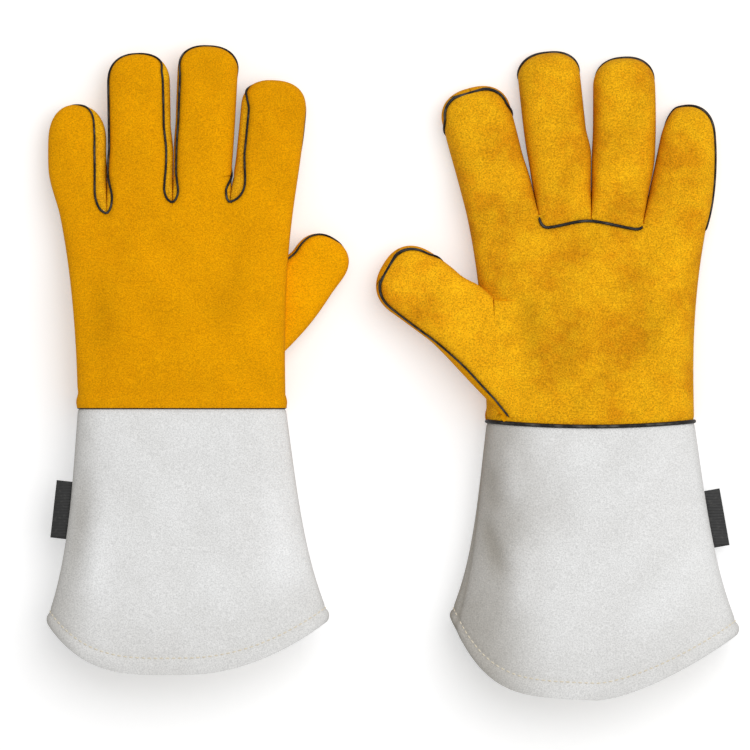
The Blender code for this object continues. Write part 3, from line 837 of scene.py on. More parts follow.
class Cuff:
    """The cuff's surface: along runs from 0 at the hem to 1 at the wrist seam.

    Its half width grows in a straight line, flicks out with the fourth power near the hem, and draws in
    with the square at the very edge. The hem hangs lower in its middle by 1 - |x|^n.
    """

    def __init__(self, glove):
        self.glove = glove

    def points(self, along, turn):
        """Points of the surface at these places along it and turns round it."""
        glove = self.glove
        along = np.broadcast_to(along, turn.shape)
        out = 1 - along
        rise, depth = (mix(wrist, hem, out) for wrist, hem in zip(WRIST_HEIGHTS, HEM_HEIGHTS))
        up, down = swap(glove, rise, depth)
        flare = (glove.hem_width - WRIST_WIDTH) / 2 - CUFF_FLICK
        half = WRIST_WIDTH / 2 + flare * out + CUFF_FLICK * out**4
        half = half - HEM_CORNER * np.clip((out - HEM_CORNER_AT) / HEM_CORNER_SHARE, 0, 1) ** 2
        across, height = outline(turn, mix(HAND_SQUARE, CUFF_SQUARE, smooth(out / CUFF_SQUARE_SHARE)))
        hem = glove.wrist + np.array([glove.hem_shift, -glove.cuff_length])
        way = unit(mix(np.array([1.0, 0.0]), right_of(heading(-glove.hem_tilt)), out[..., None]))
        plan = mix(glove.wrist, hem, out[..., None]) + (half * across)[..., None] * way
        power = np.where(across < 0, *glove.hem_round)
        plan[..., 1] -= out * glove.hem_drop * (1 - np.abs(across) ** power)
        plan[..., 1] -= sag(glove, across, height, out * glove.cuff_length)
        return stand(plan, rest(down - REST_FLAT + np.where(height > 0, up, down) * height))


def finger_stall(glove, number):
    """The stall of one finger, between the partings from its neighbours."""
    points, ends = crotches(glove), knuckle_ends(glove)
    pair = slice(number, number + 2)
    lines = list(zip(points[1:-1], [heading(lean) for lean in glove.partings]))
    return Stall(
        glove,
        glove.fingers[number],
        middle=(points[number] + points[number + 1]) / 2,
        way=knuckle_way(glove),
        sizes=(swap(glove, *KNUCKLE_HEIGHTS), swap(glove, *FINGER_HEIGHTS), (0, 0)),
        partings=[None, *lines, None][pair],
        touching=(0, *glove.touching, 0)[pair],
        rises=(0, *glove.crotch_rise, 0)[pair],
        across_at=ends[pair] / (knuckle_width(glove) / 2),
    )


def thumb_stall(glove):
    """The stall of the thumb, whose base lies along the side of the hand."""
    hand = Hand(glove)
    out = np.array([1.0, 0.0]) if glove.thumb_right else np.array([-1.0, 0.0])
    along = np.array([glove.thumb_rise / PALM_LENGTH])
    half = hand.section(along)[0]
    middle = hand.plan(along, (half - THUMB_INSET) * out[0])[0]
    sizes = (swap(glove, *THUMB_HEIGHTS),) * 2 + (glove.thumb_lift,)
    return Thumb(glove, glove.thumb, middle, right_of(out), sizes)


# Relief of the leather


def unevenness(plan, seed, wavelength):
    """Soft hills of the given wavelength: a sum of eight plane waves in seeded directions, about 0 +- 1."""
    draw = np.random.default_rng(seed)
    angles, phases = draw.uniform(0, FULL_TURN, (2, HILL_WAVES))
    sizes = wavelength * draw.uniform(*HILL_SPREAD, HILL_WAVES)
    waves = np.stack([np.cos(angles), np.sin(angles)], axis=1) * (FULL_TURN / sizes)[:, None]
    return np.sin(plan @ waves.T + phases).sum(axis=-1) / (HILL_WAVES / 2)


def creases(glove, plan):
    """Height of the glove's folds: a bell across each line, that fades towards its ends."""
    total = np.zeros(plan.shape[:-1])
    place = (plan - glove.wrist) / MM
    for fold in glove.folds:
        start, end = np.array(fold.start), np.array(fold.end)
        line = end - start
        run = ((place - start) @ line) / (line @ line)
        off = cross(place - start, line) / np.linalg.norm(line)
        total += fold.height * MM * bell(off / fold.width) * bell((run - 0.5) / CREASE_FADE, 4)
    return total


def relief(glove, points, normals, rough):
    """How far the leather stands out on its upper side: soft hills, and the glove's creases."""
    plan = points[..., :2]
    hills = sum(
        height * unevenness(plan, glove.seed + number, wavelength)
        for number, (height, wavelength) in enumerate(HILLS)
    )
    return smooth(normals[..., 2]) * (rough * hills + creases(glove, plan))


def distance(points, marks):
    """Distance of each point to the nearest of the marks, by the squares of both and their product."""
    flat = points.reshape(-1, 3)
    least = np.full(len(flat), np.inf)
    for part in np.array_split(marks, math.ceil(len(marks) / MARKS_AT_ONCE)):
        square = (part**2).sum(axis=1) - 2 * flat @ part.T
        least = np.minimum(least, square.min(axis=1))
    return np.sqrt(np.maximum(least + (flat**2).sum(axis=1), 0)).reshape(points.shape[:-1])


# Meshes


def grid_normals(points):
    """Normals of a grid: along its rows crossed with along its columns.

    A tip takes its neighbours' mean, and so do the two ends of a row that closes.
    """
    made = np.cross(np.gradient(points, axis=0), np.gradient(points, axis=1))
    long = np.linalg.norm(made, axis=-1, keepdims=True)
    made = np.where(long > NO_LENGTH, made / np.maximum(long, NO_LENGTH), 0)
    if np.ptp(points[-1], axis=0).max() < CLOSED_GAP:
        made[-1] = unit(made[-3].mean(axis=0))
    closed = np.linalg.norm(points[:, 0] - points[:, -1], axis=-1) < CLOSED_GAP
    made[closed, 0] = made[closed, -1] = unit(made[closed, 0] + made[closed, -1])
    return made


def grid_quads(ids):
    """Faces between neighbouring rows and columns of a grid of vertex numbers."""
    near, far = ids[:-1], ids[1:]
    return np.stack([near[:, :-1], far[:, :-1], far[:, 1:], near[:, 1:]], axis=-1).reshape(-1, 4)


def vertex_numbers(points):
    """Numbers of a grid's points in the order in which they are laid out."""
    return np.arange(points[..., 0].size).reshape(points.shape[:-1])


def mesh_object(name, points, faces, finish, tone=None):
    """An object from points and four-cornered faces, shaded smooth but for its sharp rims.

    Points that lie on each other are merged, which closes seams and tips.
    """
    mesh = bpy.data.meshes.new(name)
    mesh.vertices.add(points[..., 0].size)
    mesh.vertices.foreach_set("co", np.asarray(points, np.float32).ravel())
    mesh.loops.add(len(faces) * 4)
    mesh.loops.foreach_set("vertex_index", np.asarray(faces, np.int32).ravel())
    mesh.polygons.add(len(faces))
    mesh.polygons.foreach_set("loop_start", np.arange(len(faces), dtype=np.int32) * 4)
    mesh.update(calc_edges=True)
    if tone is not None:
        mesh.attributes.new("tone", "FLOAT", "POINT").data.foreach_set("value", tone.astype(np.float32))
    shape = bmesh.new()
    shape.from_mesh(mesh)
    bmesh.ops.remove_doubles(shape, verts=shape.verts, dist=MERGED_GAP)
    bmesh.ops.dissolve_degenerate(shape, edges=shape.edges, dist=SLIVER)
    shape.to_mesh(mesh)
    shape.free()
    mesh.shade_smooth()
    mesh.set_sharp_from_angle(angle=math.radians(SHARP_ANGLE))
    mesh.materials.append(finish)
    made = bpy.data.objects.new(name, mesh)
    bpy.context.scene.collection.objects.link(made)
    return made


def shell(name, outer, thickness, finish, tone=None):
    """A sheet of this thickness under a grid of points, closed along its rims."""
    inner = outer - thickness * grid_normals(outer)
    out = vertex_numbers(outer)
    back = out + out.size
    faces = [
        grid_quads(out),
        grid_quads(back)[:, ::-1],
        grid_quads(np.stack([back[0], out[0]])),
        grid_quads(np.stack([out[-1], back[-1]])),
        grid_quads(np.stack([out[:, 0], back[:, 0]])),
        grid_quads(np.stack([out[:, -1], back[:, -1]]))[:, ::-1],
    ]
    shades = None if tone is None else np.tile(tone.ravel(), 2)
    return mesh_object(name, np.stack([outer, inner]), np.concatenate(faces), finish, shades)


def rings(side, up, sides):
    """Unit circles at the points of a path: the cosine of the turn to the side, and its sine upwards."""
    turn = np.linspace(0, FULL_TURN, sides + 1)[:, None]
    return np.cos(turn) * side[..., None, :] + np.sin(turn) * up[..., None, :]


def tube(name, path, radius, finish):
    """A round profile carried along a path, with rounded ends. Its frame keeps upright on the floor."""
    ends = np.array(WELT_ENDS)
    radius = radius.copy()
    radius[: len(ends)] *= ends
    radius[-len(ends) :] *= ends[::-1]
    tangent = unit(np.gradient(path, axis=0))
    side = unit(np.cross(tangent, [0, 0, 1.0]))
    ring = rings(side, np.cross(side, tangent), WELT_SIDES)
    points = path[:, None, :] + radius[:, None, None] * ring
    # The ring's upward share goes in as tone, which puts a welt's painted highlight on its top.
    return mesh_object(name, points, grid_quads(vertex_numbers(points)), finish, ring[..., 2].ravel())


def even_turns(surface, along, start, stop, count):
    """Turns from start to stop that share out each section's length evenly."""
    start, stop = np.broadcast_to(start, along.shape), np.broadcast_to(stop, along.shape)
    fine = mix(start[:, None], stop[:, None], np.linspace(0, 1, FINE_TURNS))
    points = surface.points(along[:, None], fine)
    length = np.linalg.norm(np.diff(points, axis=1), axis=-1) + NO_STEP
    run = np.pad(np.cumsum(length, axis=1), ((0, 0), (1, 0)))
    even = np.linspace(0, 1, count)
    return np.array([np.interp(even * r[-1], r, f) for r, f in zip(run, fine)])


def declare_sheet(made):
    """Reads the area of each face of a sheet, and does nothing more with them."""
    areas = np.empty(len(made.data.polygons))
    made.data.polygons.foreach_get("area", areas)


# Materials. A Mix takes its factor at input 0 and its colours at 6 and 7, and gives output 2. A MapRange
# takes its value at 0, the range it comes from at 1 and 2 and the one it goes to at 3 and 4, and for vectors
# the same at 6 to 10.


def colour(code):
    """A hex sRGB colour as linear light."""
    shades = [int(code[i : i + 2], 16) / 255 for i in (1, 3, 5)]
    return [s / 12.92 if s <= 0.04045 else ((s + 0.055) / 1.055) ** 2.4 for s in shades] + [1.0]


def add(tree, kind, sockets=None, **settings):
    """Adds a node with its settings. A socket is given a value, or linked where the value is an output."""
    made = tree.nodes.new("ShaderNode" + kind)
    for name, value in settings.items():
        setattr(made, name, value)
    for key, value in (sockets or {}).items():
        if isinstance(value, bpy.types.NodeSocket):
            tree.links.new(value, made.inputs[key])
        else:
            made.inputs[key].default_value = value
    return made


def new_material(name):
    """An empty material and its node tree."""
    made = bpy.data.materials.new(name)
    made.use_nodes = True
    made.node_tree.nodes.clear()
    return made, made.node_tree


def per_mm(size_mm):
    """Scale of a pattern on Object coordinates whose features are this many mm across."""
    return 1000 / size_mm


def split_leather(name, face, shade, light, patch_mm, patch, fleck, nap_mm, speckle, dark=(0.4, 0.4, 0.4)):
    """Napped split cowhide: a matt, fibrous face, patchy where the dye took unevenly.

    patch_mm is the size of the dye's patches and nap_mm that of the nap's tufts, drawn coarse enough to
    show. The tone attribute carries painted shade in hollows and on flanks and painted highlight on ridges
    and on a thumb, with dirt on a cuff, and dark is what is left at -2.
    """
    made, tree = new_material(name)
    place = add(tree, "TexCoord").outputs["Object"]
    patches = add(tree, "TexNoise", {"Vector": place, "Scale": per_mm(patch_mm), "Detail": 3.0})
    mottle = add(tree, "TexNoise", {"Vector": place, "Scale": per_mm(7), "Detail": 3.0, "Roughness": 0.6})
    nap = add(tree, "TexNoise", {"Vector": place, "Scale": per_mm(nap_mm), "Detail": 2.0, "Roughness": 0.6})
    tone = add(tree, "Attribute", attribute_name="tone")

    spots = add(tree, "MapRange", {0: patches.outputs["Fac"], 1: 0.4, 2: 0.68, 4: patch},
                interpolation_type="SMOOTHSTEP")
    base = add(tree, "Mix", {0: spots.outputs["Result"], 6: colour(face), 7: colour(shade)}, data_type="RGBA")
    flecks = add(tree, "MapRange", {0: mottle.outputs["Fac"], 1: 0.42, 2: 0.7, 4: fleck})
    lightened = add(tree, "Mix", {0: flecks.outputs["Result"], 6: base.outputs[2], 7: colour(light)},
                 data_type="RGBA")
    tufts = add(tree, "MapRange", {0: nap.outputs["Fac"], 1: 0.3, 2: 0.7, 3: 1 - speckle, 4: 1 + speckle})
    grain = add(tree, "Mix", {0: 1.0, 6: lightened.outputs[2], 7: tufts.outputs["Result"]},
                data_type="RGBA", blend_type="MULTIPLY")
    lit = add(tree, "MapRange", {6: tone.outputs["Fac"], 7: (-2, -2, -2), 8: (2, 2, 2), 9: dark,
                                 10: tuple(2 - d for d in dark)}, data_type="FLOAT_VECTOR")
    toned = add(tree, "Mix", {0: 1.0, 6: grain.outputs[2], 7: lit.outputs["Vector"]},
                data_type="RGBA", blend_type="MULTIPLY")

    rough = add(tree, "Bump", {"Height": mottle.outputs["Fac"], "Strength": 0.15, "Distance": 0.8 * MM})
    fuzz = add(tree, "Bump", {"Height": nap.outputs["Fac"], "Strength": 0.6, "Distance": 0.3 * MM,
                              "Normal": rough.outputs["Normal"]})
    skin = add(tree, "BsdfPrincipled", {
        "Base Color": toned.outputs[2], "Roughness": 0.95, "Specular IOR Level": 0.08,
        "Normal": fuzz.outputs["Normal"]})
    add(tree, "OutputMaterial", {"Surface": skin.outputs["BSDF"]})
    return made


def welt_leather():
    """Folded strip of finished black leather: a low gloss, and a grey line along the top of its fold, a
    painted highlight broken up by wear.

    The tone attribute is 1 along the top of the fold.
    """
    made, tree = new_material("black_folded_leather_welt")
    place = add(tree, "TexCoord").outputs["Object"]
    grain = add(tree, "TexNoise", {"Vector": place, "Scale": per_mm(5), "Detail": 2.0})
    tone = add(tree, "Attribute", attribute_name="tone")
    # The top of the fold is painted grey as a painted highlight, broken up where the grain is worn.
    fold = add(tree, "MapRange", {0: tone.outputs["Fac"], 1: 0.6, 2: 1.0, 4: 1.0})
    worn = add(tree, "MapRange", {0: grain.outputs["Fac"], 1: 0.45, 2: 0.75, 4: 0.45})
    highlight_and_wear = add(tree, "Math", {0: fold.outputs["Result"], 1: worn.outputs["Result"]}, operation="MULTIPLY")
    face = add(tree, "Mix", {0: highlight_and_wear.outputs[0], 6: colour("#1B1918"), 7: colour("#85817A")},
               data_type="RGBA")
    bump = add(tree, "Bump", {"Height": grain.outputs["Fac"], "Strength": 0.4, "Distance": 0.3 * MM})
    skin = add(tree, "BsdfPrincipled", {
        "Base Color": face.outputs[2], "Roughness": 0.6, "Specular IOR Level": 0.25,
        "Normal": bump.outputs["Normal"]})
    add(tree, "OutputMaterial", {"Surface": skin.outputs["BSDF"]})
    return made


def cotton_fleece():
    """Brushed cotton lining: soft, matt and cream, with a loose pile."""
    made, tree = new_material("brushed_cotton_fleece")
    place = add(tree, "TexCoord").outputs["Object"]
    pile = add(tree, "TexNoise", {"Vector": place, "Scale": per_mm(1.6), "Detail": 4.0, "Roughness": 0.7})
    face = add(tree, "Mix", {0: pile.outputs["Fac"], 6: colour("#CFC5AF"), 7: colour("#F1EBDD")},
               data_type="RGBA")
    bump = add(tree, "Bump", {"Height": pile.outputs["Fac"], "Strength": 0.6, "Distance": 0.6 * MM})
    skin = add(tree, "BsdfPrincipled", {
        "Base Color": face.outputs[2], "Roughness": 1.0, "Specular IOR Level": 0.1,
        "Sheen Weight": 0.2, "Normal": bump.outputs["Normal"]})
    add(tree, "OutputMaterial", {"Surface": skin.outputs["BSDF"]})
    return made


def woven_ribbon():
    """Black polyester satin ribbon: close weft ribs across its length, drawn 0.8 mm apart to show."""
    made, tree = new_material("black_woven_ribbon")
    place = add(tree, "TexCoord").outputs["Object"]
    ribs = add(tree, "TexWave", {"Vector": place, "Scale": per_mm(0.8) / FULL_TURN, "Distortion": 0.6},
               bands_direction="Y")
    lint = add(tree, "TexNoise", {"Vector": place, "Scale": per_mm(1.4), "Detail": 3.0})
    dust = add(tree, "MapRange", {0: lint.outputs["Fac"], 1: 0.55, 2: 0.8, 4: 0.5})
    face = add(tree, "Mix", {0: dust.outputs["Result"], 6: colour("#242424"), 7: colour("#55534F")},
               data_type="RGBA")
    bump = add(tree, "Bump", {"Height": ribs.outputs["Fac"], "Strength": 0.5, "Distance": 0.25 * MM})
    skin = add(tree, "BsdfPrincipled", {
        "Base Color": face.outputs[2], "Roughness": 0.6, "Normal": bump.outputs["Normal"]})
    add(tree, "OutputMaterial", {"Surface": skin.outputs["BSDF"]})
    return made


def sewing_thread():
    """Spun aramid thread: cream, twisted, slightly fuzzy."""
    made, tree = new_material("cream_spun_thread")
    place = add(tree, "TexCoord").outputs["Object"]
    twist = add(tree, "TexNoise", {"Vector": place, "Scale": per_mm(0.7), "Detail": 2.0})
    face = add(tree, "Mix", {0: twist.outputs["Fac"], 6: colour("#DDD2B8"), 7: colour("#F0E8D8")},
               data_type="RGBA")
    skin = add(tree, "BsdfPrincipled", {"Base Color": face.outputs[2], "Roughness": 0.8})
    add(tree, "OutputMaterial", {"Surface": skin.outputs["BSDF"]})
    return made


FINISHES = {
    "back": split_leather(
        "gold_split_leather_fine_nap", "#EBA000", "#DA9000", "#F1AB02",
        patch_mm=55, patch=0.4, fleck=0.35, nap_mm=0.75, speckle=0.26),
    "palm": split_leather(
        "gold_split_leather_coarse_nap", "#EBA911", "#CE7D0A", "#F8BF18",
        patch_mm=26, patch=0.58, fleck=0.4, nap_mm=0.8, speckle=0.36),
    "cuff": split_leather(
        "grey_split_leather", "#EAEAE9", "#DDDBD9", "#F2F2F2",
        patch_mm=50, patch=0.2, fleck=0.2, nap_mm=0.75, speckle=0.16, dark=(0.43, 0.4, 0.35)),
    "welt": welt_leather(),
    "lining": cotton_fleece(),
    "tab": woven_ribbon(),
    "thread": sewing_thread(),
}


# Pieces of one glove


class Dresser:
    """Makes the pieces of one glove. Those of the hand, the hem stitches and the tab are tied to their
    bodies.
    """

    def __init__(self, glove):
        self.glove = glove
        self.hand, self.cuff, self.thumb = Hand(glove), Cuff(glove), thumb_stall(glove)
        self.stalls = [finger_stall(glove, number) for number in range(len(glove.fingers))]
        self.seams = {f"{stall.digit.name}_welt": stall.seam() for stall in self.stalls}
        thumb_from = BACK_WELT_AT if glove.back_up else LOWER_WELT_FROM / glove.thumb.length
        self.seams["thumb_welt"] = self.thumb.seam(thumb_from)
        self.seams["wrist_welt"] = self.wrist_seam()
        self.seams["side_welt"] = self.side_seam()
        self.seams["finger_base_welt"] = self.base_seam()
        rows = np.linspace(0, 1, CUFF_SEAM_POINTS)
        cuff = self.cuff.points(rows[:, None], np.stack(self.cuff_turns(rows), axis=1))
        self.marks = np.concatenate([*self.seams.values(), cuff[:, 0], cuff[:, 1]])

    def name(self, piece):
        """Full name of one of this glove's pieces or bodies."""
        return f"{self.glove.name}_{piece}"

    def wrist_seam(self):
        """Round the wrist, just past the edge of the lap where the back laps over the cuff."""
        turn = even_turns(self.hand, np.array([0.0]), 0.0, FULL_TURN, WRIST_SEAM_POINTS)
        tuck = smooth(LAP_STEEP * np.sin(turn) * (1 if self.glove.back_up else -1))
        path = self.hand.points(-tuck * (WRIST_LAP + WELT_PAST_LAP) / PALM_LENGTH, turn)[0]
        path[:, 2] -= WELT_UNDER_LAP * (tuck * np.sign(np.sin(turn)))[0]
        return path

    def edge_turns(self):
        """Turns at the right and left of the hand where its panels meet.

        Away from the thumb they meet under the edge.
        """
        return (0.0, math.pi + HIDDEN_SEAM_TURN) if self.glove.thumb_right else (-HIDDEN_SEAM_TURN, math.pi)

    def side_seam(self):
        """Along the side of the hand that is away from the thumb."""
        along = np.linspace(EDGE_SHARE, 1, SIDE_SEAM_POINTS)[:, None]
        turn = self.edge_turns()[1 if self.glove.thumb_right else 0]
        return self.hand.points(along, np.full(along.shape, turn))[:, 0]

    def base_seam(self):
        """Under the fronts of the two middle fingers.

        The line drops from the crotches at its ends by a quarter of an ellipse, and rises again to the
        crotch between the fingers.
        """
        glove = self.glove
        left, middle, right = knuckle_ends(glove)[1:4]
        at = np.linspace(left, right, BASE_SEAM_POINTS)
        share = np.where(at < middle, (at - left) / (middle - left), (right - at) / (right - middle))
        lead = np.clip(1 - share / SCALLOP_CORNER, 0, 1)
        drop = np.where(at < middle, *SCALLOPS) * np.sqrt(1 - lead**2) * (1 - smooth(share))
        along = 1 - drop / PALM_LENGTH
        z = self.hand.height(along, at / self.hand.section(along)[0], not glove.back_up)
        return resample(stand(self.hand.plan(along, at), z), WELT_STEP)

    def cuff_turns(self, along):
        """Turns of the cuff's right and left seams, which climb from the edge on their way to the hem."""
        left, right = self.glove.cuff_seams
        return right * (1 - along), math.pi - left * (1 - along)

    def sides(self, back, palm):
        """The piece on each side of a limb, its leather, and whether it lies above."""
        return (back, "back", self.glove.back_up), (palm, "palm", not self.glove.back_up)

    def panel(self, surface, along, seams, above, columns):
        """Turns and points of a surface's upper or lower panel, between its right and left seams."""
        right, left = seams
        start, stop = (right, left) if above else (left, right + FULL_TURN)
        turn = even_turns(surface, along, start, stop, columns)
        return turn, surface.points(along[:, None], turn)

    def sheet(self, piece, points, leather, tone=0.0):
        """A leather panel on a grid of points: relief, the seams' grooves, and a tone of painted shade in its
        hollows and on its flanks and painted highlight on its ridges.
        """
        glove, normals = self.glove, grid_normals(points)
        upright = np.where(normals[..., 2:] < 0, -1, 1) * np.array([0, 0, 1.0])
        crotch = np.linalg.norm(points[..., None, :2] - crotches(glove)[1:-1], axis=-1).min(axis=-1)
        line = (points[..., :2] - knuckle_middle(glove)) @ -right_of(knuckle_way(glove))
        level = smooth((np.abs(normals[..., 2]) - UPRIGHT_FROM) / UPRIGHT_FROM)
        flat = np.maximum(bell(line / KNUCKLE_CALM) * level, bell(crotch / CROTCH_CALM))
        normals = unit(mix(normals, upright, flat[..., None]))
        away = distance(points, self.marks)
        lift = relief(glove, points, normals, ROUGH[leather]) * (1 - bell(away / CALM_WIDTH))
        lift = lift - GROOVE_DEPTH * bell(away / GROOVE_WIDTH)
        outer = points + lift[..., None] * normals
        outer[..., 2] = np.maximum(outer[..., 2], 0)
        # Painted shade and highlight: hollows and the grooves beside welts are painted darker and ridges
        # lighter, steep flanks are painted darker, and the tone passed in is added.
        flank = 1 - smooth(np.abs(normals[..., 2]) / FLANK_SLOPE)
        shade = np.clip(lift / TONE_LIFT, -TONE_MOST, TONE_MOST) - FLANK_PAINTED_SHADE * flank + tone
        made = shell(self.name(piece + "_leather"), outer, LEATHER, FINISHES[leather], shade)
        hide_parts(self.name(piece))
        declare_sheet(made)
        return made

    def lining(self, piece, surface, along, columns):
        """A fleece lining all round a limb, drawn in under the leather along its normals."""
        points = surface.points(along[:, None], even_turns(surface, along, 0.0, FULL_TURN, columns))
        points[:, -1] = points[:, 0]
        inner = points - (LEATHER + LINING_GAP) * grid_normals(points)
        made = shell(self.name(piece + "_fleece"), inner, LINING, FINISHES["lining"])
        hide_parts(self.name(piece))
        declare_sheet(made)
        return made

    def welt(self, piece, radius, proud, tip=None):
        """A welt on its seam. Round a tip it goes over to the tip's radius."""
        path = self.seams[piece] + np.array([0, 0, proud])
        radius = np.full(len(path), radius)
        if tip is not None:
            near = bell(np.linalg.norm(path[:, :2] - tip, axis=1) / TIP_WELT_REACH, 4)
            radius = mix(radius, self.glove.tip_welt, near)
        path[:, 2] = np.maximum(path[:, 2], radius + WELT_OFF_FLOOR)
        made = tube(self.name(piece + "_leather"), path, radius, FINISHES["welt"])
        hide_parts(self.name(piece))
        return made

    def bend_digit(self, made, stall):
        """Bakes the placement of a digit's piece into its mesh."""
        name, out = stall.digit.name, -right_of(stall.way)
        height = joints[self.name(f"{name}_fold")]["pos_m"][2]
        self.name("hand")
        self.name(name)
        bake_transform(made)

    def bend_cuff(self, made):
        """Bakes the placement of a cuff's piece into its mesh."""
        self.name("cuff")
        self.name("hand")
        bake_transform(made)

    def dress_digit(self, stall):
        """A finger or the thumb: its back, its front, the welt between them and its lining."""
        name = stall.digit.name
        for side, leather, above in self.sides("back", "front"):
            along = stall.steps(stall.panel_start(above))
            seams = stall.seam_turn(along, True), stall.seam_turn(along, False)
            _, points = self.panel(stall, along, seams, above, stall.columns(above))
            # A thumb's painted highlight goes into the panel's tone.
            made = self.sheet(f"{name}_{side}", points, leather, stall.lightened(along[:, None]))
            self.bend_digit(made, stall)
        made = self.welt(f"{name}_welt", stall.welt_radius, WELT_PROUD, stall.tip_point())
        self.bend_digit(made, stall)
        rows, columns = DIGIT_LINING_GRID
        inside = np.linspace(stall.lining_from, mix(stall.tip_at, 1, LINING_INTO_TIP), rows)
        made = self.lining(f"{name}_lining", stall, inside, columns)
        self.bend_digit(made, stall)

    def dress_hand(self):
        """The hand's back and palm, its lining, and the welts at the wrist, the side and the finger bases."""
        glove = self.glove
        rows = np.linspace(0, 1, math.ceil(PALM_LENGTH / STEP))
        columns = math.ceil(PANEL_GIRTH * knuckle_width(glove) / STEP)
        for piece, leather, above in self.sides("back_panel", "palm_panel"):
            start = -WRIST_LAP / PALM_LENGTH if leather == "back" else 0.0
            along = mix(start, 1 + KNUCKLE_LAP / PALM_LENGTH, rows)
            _, points = self.panel(self.hand, along, self.edge_turns(), above, columns)
            lap = smooth((along[:, None] - 1) * PALM_LENGTH / KNUCKLE_LAP)
            points = points - KNUCKLE_SINK * lap[..., None] * grid_normals(points)
            if leather == "back":
                (high, wide), (deep, at, narrow) = LAP_ROLL, LAP_GROOVE
                from_edge = (along - start)[:, None] * PALM_LENGTH
                roll = high * bell(from_edge / wide, 4) - deep * bell((from_edge - at) / narrow)
                points = points + roll[..., None] * grid_normals(points)
            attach(self.sheet(piece, points, leather), self.name("hand"))
        rows, columns = HAND_LINING_GRID
        inside = np.linspace(EDGE_SHARE, HAND_LINING_ENDS_AT, rows)
        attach(self.lining("hand_lining", self.hand, inside, columns), self.name("hand"))
        for piece, radius, proud in (
            ("wrist_welt", TUCKED_WELT_RADIUS if glove.back_up else WRIST_WELT_RADIUS, 0),
            ("side_welt", WELT_RADIUS, 0),
            ("finger_base_welt", BASE_WELT_RADIUS, BASE_WELT_PROUD),
        ):
            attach(self.welt(piece, radius, proud), self.name("hand"))

    def dress_cuff(self):
        """The cuff's two panels with their turned and stitched hem, and its lining."""
        glove = self.glove
        along = np.linspace(0, 1, math.ceil((glove.cuff_length + CUFF_ROWS_OF_DROP * glove.hem_drop) / STEP))
        columns = math.ceil(PANEL_GIRTH * glove.hem_width / STEP)
        from_hem = along[:, None] * glove.cuff_run
        (high, fullness), (deep, narrow) = HEM_ROLL, HEM_GROOVE
        roll = high * np.sin(np.clip(from_hem / HEM_DEPTH, 0, 1) * math.pi) ** fullness
        roll = roll - deep * bell((from_hem - HEM_DEPTH) / narrow)
        left_shade_and_dirt, left_shade_from, left_shade_over = glove.cuff_shade_and_dirt
        for piece, _, above in self.sides("cuff_back_panel", "cuff_palm_panel"):
            turn, points = self.panel(self.cuff, along, self.cuff_turns(along), above, columns)
            points = points + roll[..., None] * grid_normals(points)
            # Painted shade with dirt on the cuff's left, running a little way under the left edge on the
            # lower panel.
            under = 1 if above else smooth((math.pi + LEFT_SHADE_UNDER_TURN - turn) / LEFT_SHADE_UNDER_TURN)
            # The cuff is darker towards its hem.
            shade_and_dirt = -HEM_DARKER * (1 - smooth(from_hem / HEM_DARKER_RUN))
            shade_and_dirt = shade_and_dirt - left_shade_and_dirt * under * smooth((-np.cos(turn) - left_shade_from) / left_shade_over)
            self.bend_cuff(self.sheet(piece, points, "cuff", shade_and_dirt))
            self.hem_stitches(piece, points)
        rows, columns = CUFF_LINING_GRID
        inside = np.linspace(HEM_DEPTH / glove.cuff_length, CUFF_LINING_ENDS_AT, rows)
        self.bend_cuff(self.lining("cuff_lining", self.cuff, inside, columns))

    def hem_stitches(self, piece, points):
        """Stitches along the hem: short rounded bars end to end on the line that the hem is turned to."""
        glove = self.glove
        row = int(round(HEM_DEPTH / glove.cuff_run * (len(points) - 1)))
        normals = grid_normals(points)[row]
        lift = relief(glove, points[row], normals, ROUGH["cuff"])
        line = points[row] + (lift + STITCH_PROUD)[:, None] * normals
        run = along_path(line)
        start = np.linspace(STITCHES_FROM, run[-1] - STITCHES_SHORT, int(run[-1] / STITCH_PITCH))
        thick, bow = np.array(STITCH_PROFILE).T
        at = start[:, None] + STITCH_LENGTH * np.linspace(0, 1, len(bow))
        path = points_at(at.ravel(), run, line).reshape(*at.shape, 3)
        up = unit(points_at(at.ravel(), run, normals).reshape(*at.shape, 3))
        side = unit(np.cross(np.gradient(path, axis=1), up))
        middle = path + (STITCH_BOW * bow)[:, None] * up
        bars = middle[:, :, None, :] + (STITCH_RADIUS * thick)[:, None, None] * rings(side, up, STITCH_SIDES)
        bars[..., 2] = np.maximum(bars[..., 2], 0)
        faces = np.concatenate([grid_quads(bar) for bar in vertex_numbers(bars)])
        made = mesh_object(self.name(piece.replace("panel", "hem_stitches")), bars, faces, FINISHES["thread"])
        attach(made, self.name("cuff"))

